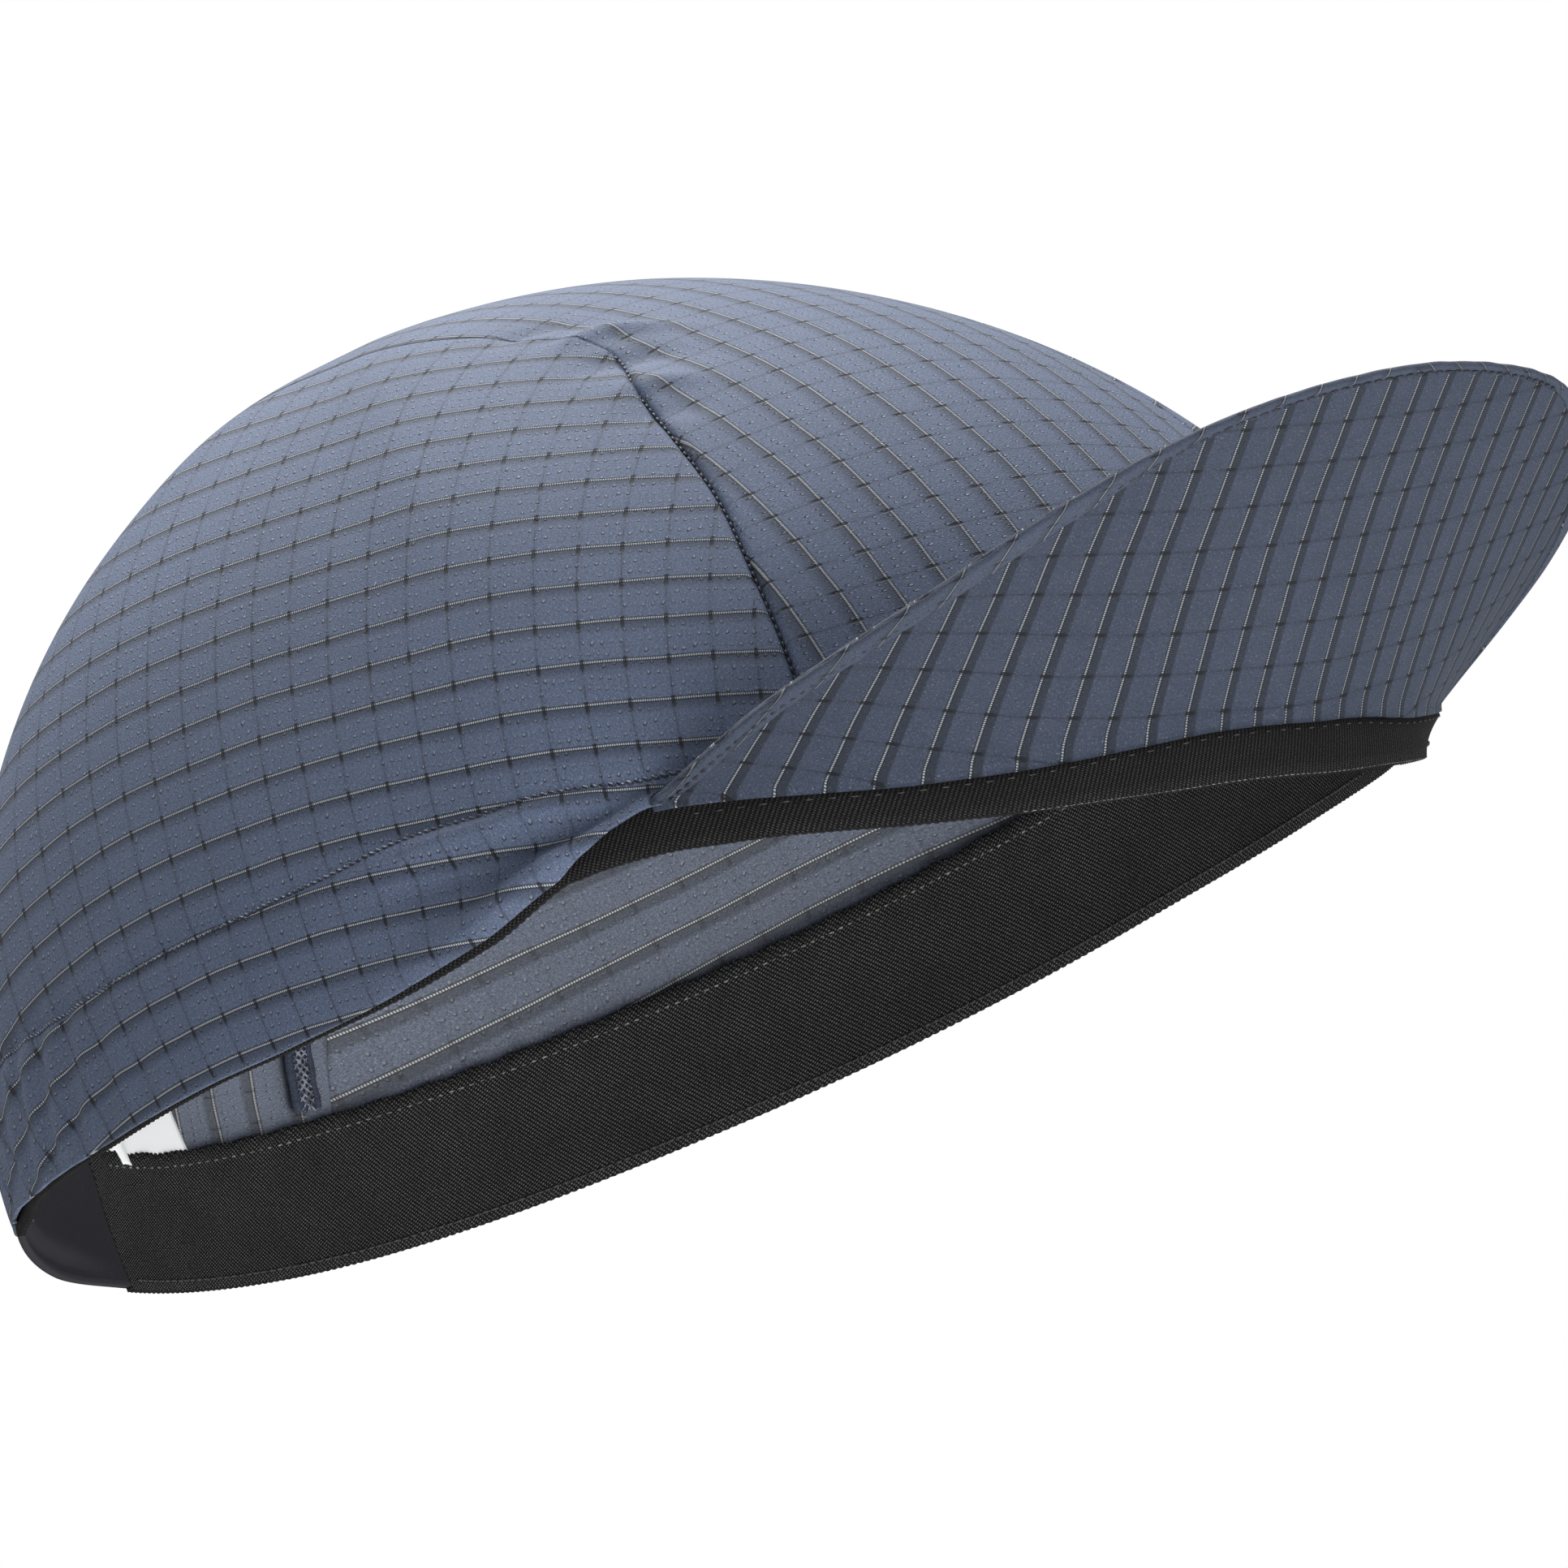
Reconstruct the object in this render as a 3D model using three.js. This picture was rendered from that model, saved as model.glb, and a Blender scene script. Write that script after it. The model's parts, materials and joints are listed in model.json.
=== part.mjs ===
import * as THREE from 'three';

// Cycling cap, in millimetres. +Z is up, the visor points to -Y and the wearer's right is -X.
// The origin is inside the head opening, level with the middle of the rim's rise and fall.
// "around" is an angle in degrees round the head: 0 at the wearer's right, 90 at the front,
// 180 at the wearer's left and 270 at the back.

// Driving dimensions of the crown
const HALF_WIDTH = 78;
const FRONT_REACH = 86.9;
const BACK_REACH = 105.3;
const CROWN_TOP = 92.6;
const LEAN_BACK = 20.4;

// Thicknesses and clearances
const CLOTH = 1.2;
const BAND_THICK = 1.5;
const BAND_WIDTH = 18.3;
const GAP = 0.3;

// Height of the rim round the head. The wearer's right hangs lower, as the cap is shown worn.
const RIM = [
  { around: 0, height: 3.0 },
  { around: 9, height: 1.3 },
  { around: 20, height: 0.3 },
  { around: 27, height: 0.9 },
  { around: 36, height: 3.7 },
  { around: 42, height: 2.9 },
  { around: 48, height: 1.1 },
  { around: 55, height: -1.4 },
  { around: 63, height: -3.9 },
  { around: 74, height: -6.0 },
  { around: 86, height: -6.8 },
  { around: 99, height: -6.8 },
  { around: 112, height: -5.3 },
  { around: 124, height: -2.2 },
  { around: 138, height: 2.7 },
  { around: 153, height: 7.5 },
  { around: 172, height: 10.2 },
  { around: 190, height: 11.2 },
  { around: 226, height: 10.8 },
  { around: 266, height: 10.2 },
  { around: 300, height: 10.8 },
  { around: 318, height: 10.6 },
  { around: 334, height: 7.9 },
  { around: 344, height: 5.7 },
  { around: 354, height: 4.0 },
];

// Height of the crown's hem above the rim: nearly flush, and raised where the visor is sewn in
const HEM_LIFT = [
  { around: 34, lift: 0.6 },
  { around: 37, lift: 1.5 },
  { around: 43, lift: 4.6 },
  { around: 60, lift: 4.4 },
  { around: 74, lift: 4.9 },
  { around: 90, lift: 6.0 },
  { around: 104, lift: 6.1 },
  { around: 120, lift: 4.8 },
  { around: 137, lift: 4.4 },
  { around: 142, lift: 1.5 },
  { around: 146, lift: 0.6 },
  { around: 270, lift: 0.6 },
];

// Course of the two long seams: roll is the angle over the head from the front (0) to the
// back (180), and spread is the angle from the middle plane out to the seam
const SEAM = [
  { roll: 0, spread: 35.5 },
  { roll: 12, spread: 32.5 },
  { roll: 23, spread: 29.9 },
  { roll: 31, spread: 27.3 },
  { roll: 38, spread: 25.3 },
  { roll: 44, spread: 23.0 },
  { roll: 51, spread: 19.2 },
  { roll: 60, spread: 20.9 },
  { roll: 70, spread: 21.6 },
  { roll: 110, spread: 20.5 },
  { roll: 145, spread: 16.8 },
  { roll: 180, spread: 14.7 },
];
// The back of the centre strip sits a little towards the wearer's right
const BACK_DRIFT = -3.2;
const BACK_DRIFT_FROM = 100;
// Corners of the side panels on the seam, front and back
const PANEL_CORNER_FRONT = 56;
const PANEL_CORNER_BACK = 132;

// Visor: where its base is sewn in, and its free edge from the wearer's right to the middle
const VISOR_FROM = 43;
const VISOR_TO = 137;
const VISOR_EDGE = [
  { side: 58.0, forward: 62.6, height: 7.5 },
  { side: 57.2, forward: 67.6, height: 8.5 },
  { side: 55.2, forward: 79.5, height: 10.4 },
  { side: 51.2, forward: 92.4, height: 11.8 },
  { side: 45.9, forward: 104.3, height: 13.2 },
  { side: 39.1, forward: 115.5, height: 15.3 },
  { side: 30.4, forward: 124.8, height: 17.3 },
  { side: 19.4, forward: 131.2, height: 18.8 },
  { side: 0, forward: 134.7, height: 19.6 },
];
const VISOR_ARCH = 1.5;

// Folds of the lower side panels where they are drawn in towards the ends of the visor.
// Each runs from one place on the crown to another, "up" being the angle above the rim.
const FOLDS = [
  { fromAround: 6, fromUp: 2.5, toAround: 41, toUp: 3.6, proud: 1.9, width: 2.0 },
  { fromAround: 15, fromUp: 7.5, toAround: 44, toUp: 6.5, proud: 1.3, width: 1.8 },
];

// Smooth black stretch of the band at the back
const PATCH_FROM = 286.5;
const PATCH_TO = 316;

// Seam allowance inside the crown, and the label above the band at the back
const ALLOWANCE_WIDTH = 4;
const ALLOWANCE_THICK = 1.2;
const ALLOWANCE_CLEAR = 1.2;
const LABEL_FROM = 272.8;
const LABEL_TO = 286;
const LABEL_HEIGHT = 11;
const LABEL_THICK = 1;

// Fineness of the faceted surfaces
const PANEL_COLUMNS = 40;
const PANEL_ROWS = 16;
const STRIP_COLUMNS = 8;
const STRIP_ROWS = 44;
const VISOR_COLUMNS = 40;
const VISOR_ROWS = 6;
const BAND_STEP = 4;

const CLOTH_FINISH = { color: 0x66728a, roughness: 0.85, metalness: 0 };
const UNDER_FINISH = { color: 0x515b70, roughness: 0.8, metalness: 0 };
const BAND_FINISH = { color: 0x28282a, roughness: 0.95, metalness: 0 };
const PATCH_FINISH = { color: 0x302f34, roughness: 0.7, metalness: 0 };
const LABEL_FINISH = { color: 0xe9e9ea, roughness: 0.6, metalness: 0 };

const radians = THREE.MathUtils.degToRad;
const clamp = THREE.MathUtils.clamp;
const lerp = THREE.MathUtils.lerp;
const smoothstep = THREE.MathUtils.smoothstep;

// A smooth line through a table's rows that never swings past them
function readTable(table, keyName, valueName, at, period = 0) {
  const rows = table.map((row) => ({ key: row[keyName], value: row[valueName] }));
  if (period) {
    const first = rows[0];
    const last = rows[rows.length - 1];
    rows.unshift({ key: last.key - period, value: last.value });
    rows.push({ key: first.key + period, value: first.value });
    rows.push({ key: rows[2].key + period, value: rows[2].value });
    at = THREE.MathUtils.euclideanModulo(at - first.key, period) + first.key;
  }
  const place = clamp(at, rows[0].key, rows[rows.length - 1].key);
  let i = 0;
  while (i < rows.length - 2 && place > rows[i + 1].key) i += 1;
  const slope = (k) => (rows[k + 1].value - rows[k].value) / (rows[k + 1].key - rows[k].key);
  const tangent = (k) => {
    if (k === 0 || k === rows.length - 1) return 0;
    const before = slope(k - 1);
    const after = slope(k);
    return before * after > 0 ? (2 * before * after) / (before + after) : 0;
  };
  const span = rows[i + 1].key - rows[i].key;
  const t = (place - rows[i].key) / span;
  const rise = rows[i + 1].value - rows[i].value;
  const bend = (1 - t) * (tangent(i) * span - rise) - t * (tangent(i + 1) * span - rise);
  return rows[i].value + rise * t + t * (1 - t) * bend;
}

const rimHeight = (around) => readTable(RIM, 'around', 'height', around, 360);
const hemLift = (around) => readTable(HEM_LIFT, 'around', 'lift', around, 360);

// The crown is a dome over a unit half ball. A direction on the ball gives a point of the cap.
function direction(around, up) {
  const level = Math.cos(radians(up));
  return new THREE.Vector3(
    -level * Math.cos(radians(around)),
    -level * Math.sin(radians(around)),
    Math.sin(radians(up)),
  );
}

const aroundOf = (dir) => THREE.MathUtils.radToDeg(Math.atan2(-dir.y, -dir.x));

function bareDome(dir) {
  const reach = (FRONT_REACH + BACK_REACH) / 2;
  const uneven = (BACK_REACH - FRONT_REACH) / 2;
  return new THREE.Vector3(
    HALF_WIDTH * dir.x,
    reach * dir.y + uneven * dir.y * dir.y + LEAN_BACK * dir.z * dir.z,
    rimHeight(aroundOf(dir)) * (1 - dir.z) + CROWN_TOP * dir.z,
  );
}

// The outward normal of the bare dome, from two short steps along the ball
function domeNormal(dir) {
  const step = 0.01;
  const level = new THREE.Vector3(-dir.y, dir.x, 0);
  if (level.length() < step) level.set(1, 0, 0);
  const across = level.normalize();
  const upward = new THREE.Vector3().crossVectors(dir, across).normalize();
  const move = (axis, size) => bareDome(dir.clone().addScaledVector(axis, size).normalize());
  const alongAcross = move(across, step).sub(move(across, -step));
  const alongUp = move(upward, step).sub(move(upward, -step));
  const normal = new THREE.Vector3().crossVectors(alongAcross, alongUp).normalize();
  return normal.dot(dir) < 0 ? normal.negate() : normal;
}

// How far the folds stand proud at a direction, on the wearer's right and mirrored on the left
function foldHeight(dir) {
  const mirrored = new THREE.Vector3(-Math.abs(dir.x), dir.y, dir.z);
  let total = 0;
  for (const fold of FOLDS) {
    const start = direction(fold.fromAround, fold.fromUp);
    const end = direction(fold.toAround, fold.toUp);
    const course = end.clone().sub(start);
    const along = clamp(mirrored.clone().sub(start).dot(course) / course.lengthSq(), 0, 1);
    const nearest = start.clone().addScaledVector(course, along).normalize();
    const away = THREE.MathUtils.radToDeg(mirrored.angleTo(nearest)) / fold.width;
    total += fold.proud * Math.sin(Math.PI * (0.15 + 0.8 * along)) ** 2 * Math.exp(-away * away);
  }
  return total;
}

// A point of the cap: inset is the depth below the crown's outer face
function capPoint(dir, inset, folded = false) {
  const proud = folded ? foldHeight(dir) : 0;
  return bareDome(dir).addScaledVector(domeNormal(dir), proud - inset);
}

// The direction at a given height above the rim
function directionAbove(around, height) {
  const rise = Math.asin(height / (CROWN_TOP - rimHeight(around)));
  return direction(around, THREE.MathUtils.radToDeg(rise));
}

const hemDirection = (around) => directionAbove(around, hemLift(around));

// A direction on a seam, or "clear" degrees further out from the middle plane
function seamDirection(side, roll, clear = 0) {
  const spread = readTable(SEAM, 'roll', 'spread', roll) + clear;
  const drift = BACK_DRIFT * smoothstep(roll, BACK_DRIFT_FROM, 180);
  const turn = radians(side * spread + drift);
  return new THREE.Vector3(
    Math.sin(turn),
    -Math.cos(turn) * Math.cos(radians(roll)),
    Math.cos(turn) * Math.sin(radians(roll)),
  );
}

// The roll at which a seam meets the height above the rim that heightAt gives
function seamEnd(side, back, clear, heightAt) {
  let low = back ? 180 : 0;
  let high = 90;
  for (let i = 0; i < 40; i += 1) {
    const middle = (low + high) / 2;
    const dir = seamDirection(side, middle, clear);
    const around = aroundOf(dir);
    const above = dir.z * (CROWN_TOP - rimHeight(around)) > heightAt(around);
    if (above) high = middle;
    else low = middle;
  }
  return high;
}

// A closed solid between two grids of points, with walls round its four sides
function closedSheet(columns, rows, outerAt, innerAt) {
  const points = [];
  const faces = [];
  const across = columns + 1;
  const layer = across * (rows + 1);
  for (const surface of [outerAt, innerAt]) {
    for (let j = 0; j <= rows; j += 1) {
      for (let i = 0; i <= columns; i += 1) points.push(surface(i / columns, j / rows));
    }
  }
  const quad = (a, b, c, d) => faces.push([a, b, c], [a, c, d]);
  for (let j = 0; j < rows; j += 1) {
    for (let i = 0; i < columns; i += 1) {
      const a = j * across + i;
      quad(a, a + 1, a + 1 + across, a + across);
      quad(layer + a, layer + a + across, layer + a + 1 + across, layer + a + 1);
    }
  }
  for (let i = 0; i < columns; i += 1) {
    const top = rows * across + i;
    quad(i, layer + i, layer + i + 1, i + 1);
    quad(top, top + 1, layer + top + 1, layer + top);
  }
  for (let j = 0; j < rows; j += 1) {
    const left = j * across;
    const right = left + columns;
    quad(left, left + across, layer + left + across, layer + left);
    quad(right, layer + right, layer + right + across, right + across);
  }
  return solidFrom(points, faces);
}

// A geometry from points and triangles, turned so that its faces point out
function solidFrom(points, faces) {
  let volume = 0;
  for (const [a, b, c] of faces) {
    volume += points[a].dot(new THREE.Vector3().crossVectors(points[b], points[c]));
  }
  const outward = volume > 0 ? faces : faces.map(([a, b, c]) => [a, c, b]);
  const geometry = new THREE.BufferGeometry();
  const flat = points.flatMap((point) => point.toArray());
  geometry.setAttribute('position', new THREE.Float32BufferAttribute(flat, 3));
  geometry.setIndex(outward.flat());
  geometry.computeVertexNormals();
  return geometry;
}

// A smooth patch of directions between four border lines on the ball
function patchDirection(bottom, top, left, right) {
  return (u, v) => {
    const dir = new THREE.Vector3();
    dir.addScaledVector(bottom(u), 1 - v).addScaledVector(top(u), v);
    dir.addScaledVector(left(v), 1 - u).addScaledVector(right(v), u);
    dir.addScaledVector(bottom(0), -(1 - u) * (1 - v)).addScaledVector(bottom(1), -u * (1 - v));
    dir.addScaledVector(top(0), -(1 - u) * v).addScaledVector(top(1), -u * v);
    return dir.normalize();
  };
}

// Half of the seam's clearance, as an angle on the ball
const SEAM_CLEAR = (GAP / 2 / HALF_WIDTH) * (180 / Math.PI);

function panelDirections(side) {
  const start = seamEnd(side, false, SEAM_CLEAR, hemLift);
  const finish = seamEnd(side, true, SEAM_CLEAR, hemLift);
  const seam = (roll) => seamDirection(side, roll, SEAM_CLEAR);
  const frontAround = aroundOf(seam(start));
  let backAround = aroundOf(seam(finish));
  if (side > 0) backAround = THREE.MathUtils.euclideanModulo(backAround, 360);
  return patchDirection(
    (u) => hemDirection(lerp(frontAround, backAround, u)),
    (u) => seam(lerp(PANEL_CORNER_FRONT, PANEL_CORNER_BACK, u)),
    (v) => seam(lerp(start, PANEL_CORNER_FRONT, v)),
    (v) => seam(lerp(finish, PANEL_CORNER_BACK, v)),
  );
}

function stripDirections() {
  const edge = (side) => {
    const start = seamEnd(side, false, -SEAM_CLEAR, hemLift);
    const finish = seamEnd(side, true, -SEAM_CLEAR, hemLift);
    return (v) => seamDirection(side, lerp(start, finish, v), -SEAM_CLEAR);
  };
  const right = edge(-1);
  const left = edge(1);
  const hem = (v) => {
    const from = THREE.MathUtils.euclideanModulo(aroundOf(right(v)), 360);
    const to = THREE.MathUtils.euclideanModulo(aroundOf(left(v)), 360);
    return (u) => hemDirection(lerp(from, to, u));
  };
  return patchDirection(hem(0), hem(1), right, left);
}

// Rows crowd towards the hem, where the folds are
const crowded = (v) => v ** 1.35;

function sidePanel(side) {
  const place = panelDirections(side);
  return closedSheet(
    PANEL_COLUMNS,
    PANEL_ROWS,
    (u, v) => capPoint(place(u, crowded(v)), 0, true),
    (u, v) => capPoint(place(u, crowded(v)), CLOTH, true),
  );
}

function centerStrip() {
  const place = stripDirections();
  return closedSheet(
    STRIP_COLUMNS,
    STRIP_ROWS,
    (u, v) => capPoint(place(u, v), 0),
    (u, v) => capPoint(place(u, v), CLOTH),
  );
}

// Free edge of the visor, both halves, as one smooth curve
function visorEdgeCurve() {
  const half = VISOR_EDGE.map((row) => new THREE.Vector3(-row.side, -row.forward, row.height));
  const mirror = (point) => new THREE.Vector3(-point.x, point.y, point.z);
  const other = half.slice(0, -1).reverse().map(mirror);
  return new THREE.CatmullRomCurve3([...half, ...other], false, 'centripetal');
}

const visorEdge = visorEdgeCurve();

// A point of the visor: s runs along it, t from the base to the free edge, and height is the
// distance above its under face
function visorPoint(s, t, height) {
  const around = lerp(VISOR_FROM, VISOR_TO, s);
  const base = (rise) => capPoint(directionAbove(around, hemLift(around) + rise), -GAP);
  const edge = visorEdge.getPointAt(s);
  const outward = edge.clone().sub(base(0));
  const normal = new THREE.Vector3().crossVectors(visorEdge.getTangentAt(s), outward).normalize();
  if (normal.z < 0) normal.negate();
  const arch = VISOR_ARCH * Math.sin(Math.PI * t) * Math.sin(Math.PI * s);
  return base(height).lerp(edge.addScaledVector(normal, height), t).addScaledVector(normal, arch);
}

function visorCloth(under, over) {
  return closedSheet(
    VISOR_COLUMNS,
    VISOR_ROWS,
    (s, t) => visorPoint(s, t, over),
    (s, t) => visorPoint(s, t, under),
  );
}

// A stretch of the band, behind the crown's inner face
function bandStretch(from, to) {
  const face = (inset) => (u, v) => {
    const around = lerp(from, to, u);
    return capPoint(directionAbove(around, v * BAND_WIDTH), inset);
  };
  const columns = Math.round((to - from) / BAND_STEP);
  return closedSheet(columns, 3, face(CLOTH + GAP), face(CLOTH + GAP + BAND_THICK));
}

// The overlocked cloth edges that stand along a seam inside the crown, above the band
function seamAllowance(side) {
  const aboveBand = () => BAND_WIDTH + ALLOWANCE_CLEAR;
  const start = seamEnd(side, false, 0, aboveBand);
  const finish = seamEnd(side, true, 0, aboveBand);
  const halfWidth = (ALLOWANCE_WIDTH / 2 / HALF_WIDTH) * (180 / Math.PI);
  const face = (inset) => (u, v) => {
    const dir = seamDirection(side, lerp(start, finish, v), lerp(-halfWidth, halfWidth, u));
    return capPoint(dir, inset);
  };
  const depth = CLOTH + GAP;
  return closedSheet(1, STRIP_ROWS, face(depth), face(depth + ALLOWANCE_THICK));
}

function careLabel() {
  const face = (inset) => (u, v) => {
    const height = BAND_WIDTH + GAP + v * LABEL_HEIGHT;
    return capPoint(directionAbove(lerp(LABEL_FROM, LABEL_TO, u), height), inset);
  };
  const depth = CLOTH + GAP;
  return closedSheet(4, 3, face(depth), face(depth + LABEL_THICK));
}

const group = new THREE.Group();

function addPiece(name, geometry, finish) {
  const mesh = new THREE.Mesh(geometry, new THREE.MeshStandardMaterial(finish));
  mesh.name = name;
  group.add(mesh);
}

// The joint between the two kinds of band is a clear cut of one gap
const PATCH_GAP = (GAP / BACK_REACH) * (180 / Math.PI);

addPiece('crown_right_panel', sidePanel(-1), CLOTH_FINISH);
addPiece('crown_left_panel', sidePanel(1), CLOTH_FINISH);
addPiece('crown_center_strip', centerStrip(), CLOTH_FINISH);
addPiece('visor_under', visorCloth(0, CLOTH), UNDER_FINISH);
addPiece('visor_upper', visorCloth(CLOTH + GAP, 2 * CLOTH + GAP), CLOTH_FINISH);
addPiece('sweatband', bandStretch(PATCH_TO - 360, PATCH_FROM - PATCH_GAP), BAND_FINISH);
addPiece('sweatband_back_patch', bandStretch(PATCH_FROM, PATCH_TO - PATCH_GAP), PATCH_FINISH);
addPiece('seam_allowance_right', seamAllowance(-1), UNDER_FINISH);
addPiece('seam_allowance_left', seamAllowance(1), UNDER_FINISH);
addPiece('care_label', careLabel(), LABEL_FINISH);

export default group;
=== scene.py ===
import json
import math

import bmesh
import bpy
import numpy as np
from mathutils import Matrix, Vector

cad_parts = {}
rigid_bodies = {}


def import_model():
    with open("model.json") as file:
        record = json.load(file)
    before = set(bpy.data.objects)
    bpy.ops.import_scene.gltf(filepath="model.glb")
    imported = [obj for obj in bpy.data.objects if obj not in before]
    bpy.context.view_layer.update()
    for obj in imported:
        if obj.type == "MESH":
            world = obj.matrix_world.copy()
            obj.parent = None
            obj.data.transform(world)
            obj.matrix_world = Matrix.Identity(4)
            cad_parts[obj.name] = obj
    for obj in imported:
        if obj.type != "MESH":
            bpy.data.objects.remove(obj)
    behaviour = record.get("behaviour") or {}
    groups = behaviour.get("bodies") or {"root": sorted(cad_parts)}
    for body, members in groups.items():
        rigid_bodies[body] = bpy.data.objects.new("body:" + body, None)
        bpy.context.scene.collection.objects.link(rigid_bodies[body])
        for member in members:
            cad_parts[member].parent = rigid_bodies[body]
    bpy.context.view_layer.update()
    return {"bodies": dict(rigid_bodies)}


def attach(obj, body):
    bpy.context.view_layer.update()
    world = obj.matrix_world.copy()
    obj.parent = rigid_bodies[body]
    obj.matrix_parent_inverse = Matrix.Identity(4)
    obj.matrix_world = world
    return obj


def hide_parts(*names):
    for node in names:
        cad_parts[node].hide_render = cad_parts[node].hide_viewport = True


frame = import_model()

# Cycling cap. The shapes below are worked out in millimetres and placed in metres.
# "around" is degrees round the head: 0 wearer's right, 90 front, 180 left, 270 back.
MM = 0.001
BODY = next(iter(frame["bodies"]))

HALF_WIDTH = 78.0
FRONT_REACH = 86.9
BACK_REACH = 105.3
CROWN_TOP = 92.6
LEAN_BACK = 20.4
BAND_WIDTH = 18.3
GAP = 0.3
WALL = 1.2
BAND_OUTSIDE = WALL + GAP
BAND_THICK = 0.9
BAND_INSIDE = BAND_OUTSIDE + BAND_THICK + 0.03
CLOTH = 0.55
ROLLED_CLOTH = 0.38
GRID = 4.3
MM_PER_DEGREE = 1.55
RIGHT, LEFT = -1, 1

# Height of the rim by degrees round the head
RIM = [
    (0, 3.0), (9, 1.3), (20, 0.3), (27, 0.9), (36, 3.7), (42, 2.9), (48, 1.1), (55, -1.4),
    (63, -3.9), (74, -6.0), (86, -6.8), (99, -6.8), (112, -5.3), (124, -2.2), (138, 2.7),
    (153, 7.5), (172, 10.2), (190, 11.2), (226, 10.8), (266, 9.6), (300, 10.1),
    (318, 10.6), (334, 7.9), (344, 5.7), (354, 4.0),
]
# How far the crown's hem lies above the rim, by degrees round the head
HEM_LIFT = [
    (34, 0.1), (37, 1.5), (43, 4.6), (60, 4.4), (74, 4.9), (90, 6.0), (104, 6.1),
    (120, 4.8), (137, 4.4), (144, 3.9), (156, 1.7), (167, 0.6), (250, 0.6),
    (284, 1.2), (298, 2.6), (309, 2.2), (316, 1.2), (324, 0.4), (330, 0.1),
]
# Each side seam's turn from the middle, by its roll over the head from front (0) to back (180)
SEAM = [
    (0, 35.5), (12, 32.5), (23, 29.9), (31, 27.3), (38, 25.3), (44, 23.0), (51, 19.2),
    (60, 20.9), (70, 21.6), (110, 20.5), (145, 16.8), (180, 14.7),
]
BACK_DRIFT = -3.2
BACK_DRIFT_FROM = 100
PANEL_CORNER_FRONT = 56
PANEL_CORNER_BACK = 132

VISOR_FROM = 43
VISOR_TO = 137
# The visor's free edge: sideways, forwards and up from the origin
VISOR_EDGE = [
    (58.0, 62.6, 7.5), (57.2, 67.6, 8.5), (55.2, 79.5, 10.4), (51.2, 92.4, 11.8),
    (45.9, 104.3, 13.2), (39.1, 115.5, 15.3), (30.4, 124.8, 17.3), (19.4, 131.2, 18.8),
    (0, 134.7, 19.6),
]
VISOR_ARCH = 1.5

PATCH_FROM = 286.5
PATCH_TO = 316
LABEL_FROM = 272.8
LABEL_TO = 286
LABEL_HEIGHT = 11


# The cap's form

def smooth(x, low, high):
    t = np.clip((x - low) / (high - low), 0.0, 1.0)
    return t * t * (3 - 2 * t)


def bell(x, width):
    return np.exp(-((x / width) ** 2))


def apart(around, other):
    """Degrees between two places round the head, whichever way is shorter."""
    return np.abs((np.asarray(around, float) - other + 180) % 360 - 180)


def read_table(rows, at, period=0):
    """A smooth line through a table's rows that never swings past them."""
    keys, values = np.array(rows, float).T
    at = np.asarray(at, float)
    if period:
        first = keys[0]
        before = keys[-1] - period
        keys = np.concatenate([[before], keys, [keys[0] + period, keys[1] + period]])
        values = np.concatenate([[values[-1]], values, [values[0], values[1]]])
        at = (at - first) % period + first
    place = np.clip(at, keys[0], keys[-1])
    i = np.clip(np.searchsorted(keys, place, "left") - 1, 0, len(keys) - 2)
    slopes = np.diff(values) / np.diff(keys)
    tangents = np.zeros(len(keys))
    product = slopes[:-1] * slopes[1:]
    total = np.where(product > 0, slopes[:-1] + slopes[1:], 1.0)
    tangents[1:-1] = np.where(product > 0, 2 * product / total, 0.0)
    span = keys[i + 1] - keys[i]
    t = (place - keys[i]) / span
    rise = values[i + 1] - values[i]
    bend = (1 - t) * (tangents[i] * span - rise) - t * (tangents[i + 1] * span - rise)
    return values[i] + rise * t + t * (1 - t) * bend


def rim_height(around):
    return read_table(RIM, around, 360)


def hem_lift(around):
    return read_table(HEM_LIFT, around, 360)


def unit(v):
    return v / np.linalg.norm(v, axis=-1, keepdims=True)


def direction(around, up):
    """Unit directions from the head's middle, from degrees round it and up."""
    a, e = np.radians(around), np.radians(up)
    around_part = np.stack([-np.cos(e) * np.cos(a), -np.cos(e) * np.sin(a)], -1)
    return np.concatenate([around_part, (np.sin(e) + 0 * a)[..., None]], -1)


def around_of(d):
    return np.degrees(np.arctan2(-d[..., 1], -d[..., 0]))


def bare_dome(d):
    """The crown's plain outer form at a direction, in mm."""
    reach = (FRONT_REACH + BACK_REACH) / 2
    uneven = (BACK_REACH - FRONT_REACH) / 2
    x, y, z = d[..., 0], d[..., 1], d[..., 2]
    return np.stack([
        HALF_WIDTH * x,
        reach * y + uneven * y * y + LEAN_BACK * z * z,
        rim_height(around_of(d)) * (1 - z) + CROWN_TOP * z,
    ], -1)


def dome_normal(d):
    step = 0.01
    across = np.stack([-d[..., 1], d[..., 0], 0 * d[..., 0]], -1)
    short = np.linalg.norm(across, axis=-1, keepdims=True) < step
    across = unit(np.where(short, np.array([1.0, 0, 0]), across))
    upward = unit(np.cross(d, across))
    go = lambda axis, size: bare_dome(unit(d + axis * size))
    normal = unit(np.cross(go(across, step) - go(across, -step), go(upward, step) - go(upward, -step)))
    return normal * np.sign(np.sum(normal * d, -1, keepdims=True))


def cap_point(d, inset=0.0):
    return bare_dome(d) - dome_normal(d) * np.asarray(inset)[..., None]


def direction_above(around, height):
    around = np.asarray(around, float)
    rise = np.arcsin(np.clip(height / (CROWN_TOP - rim_height(around)), -1, 1))
    return direction(around, np.degrees(rise))


def height_above_rim(d):
    return d[..., 2] * (CROWN_TOP - rim_height(around_of(d)))


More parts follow.
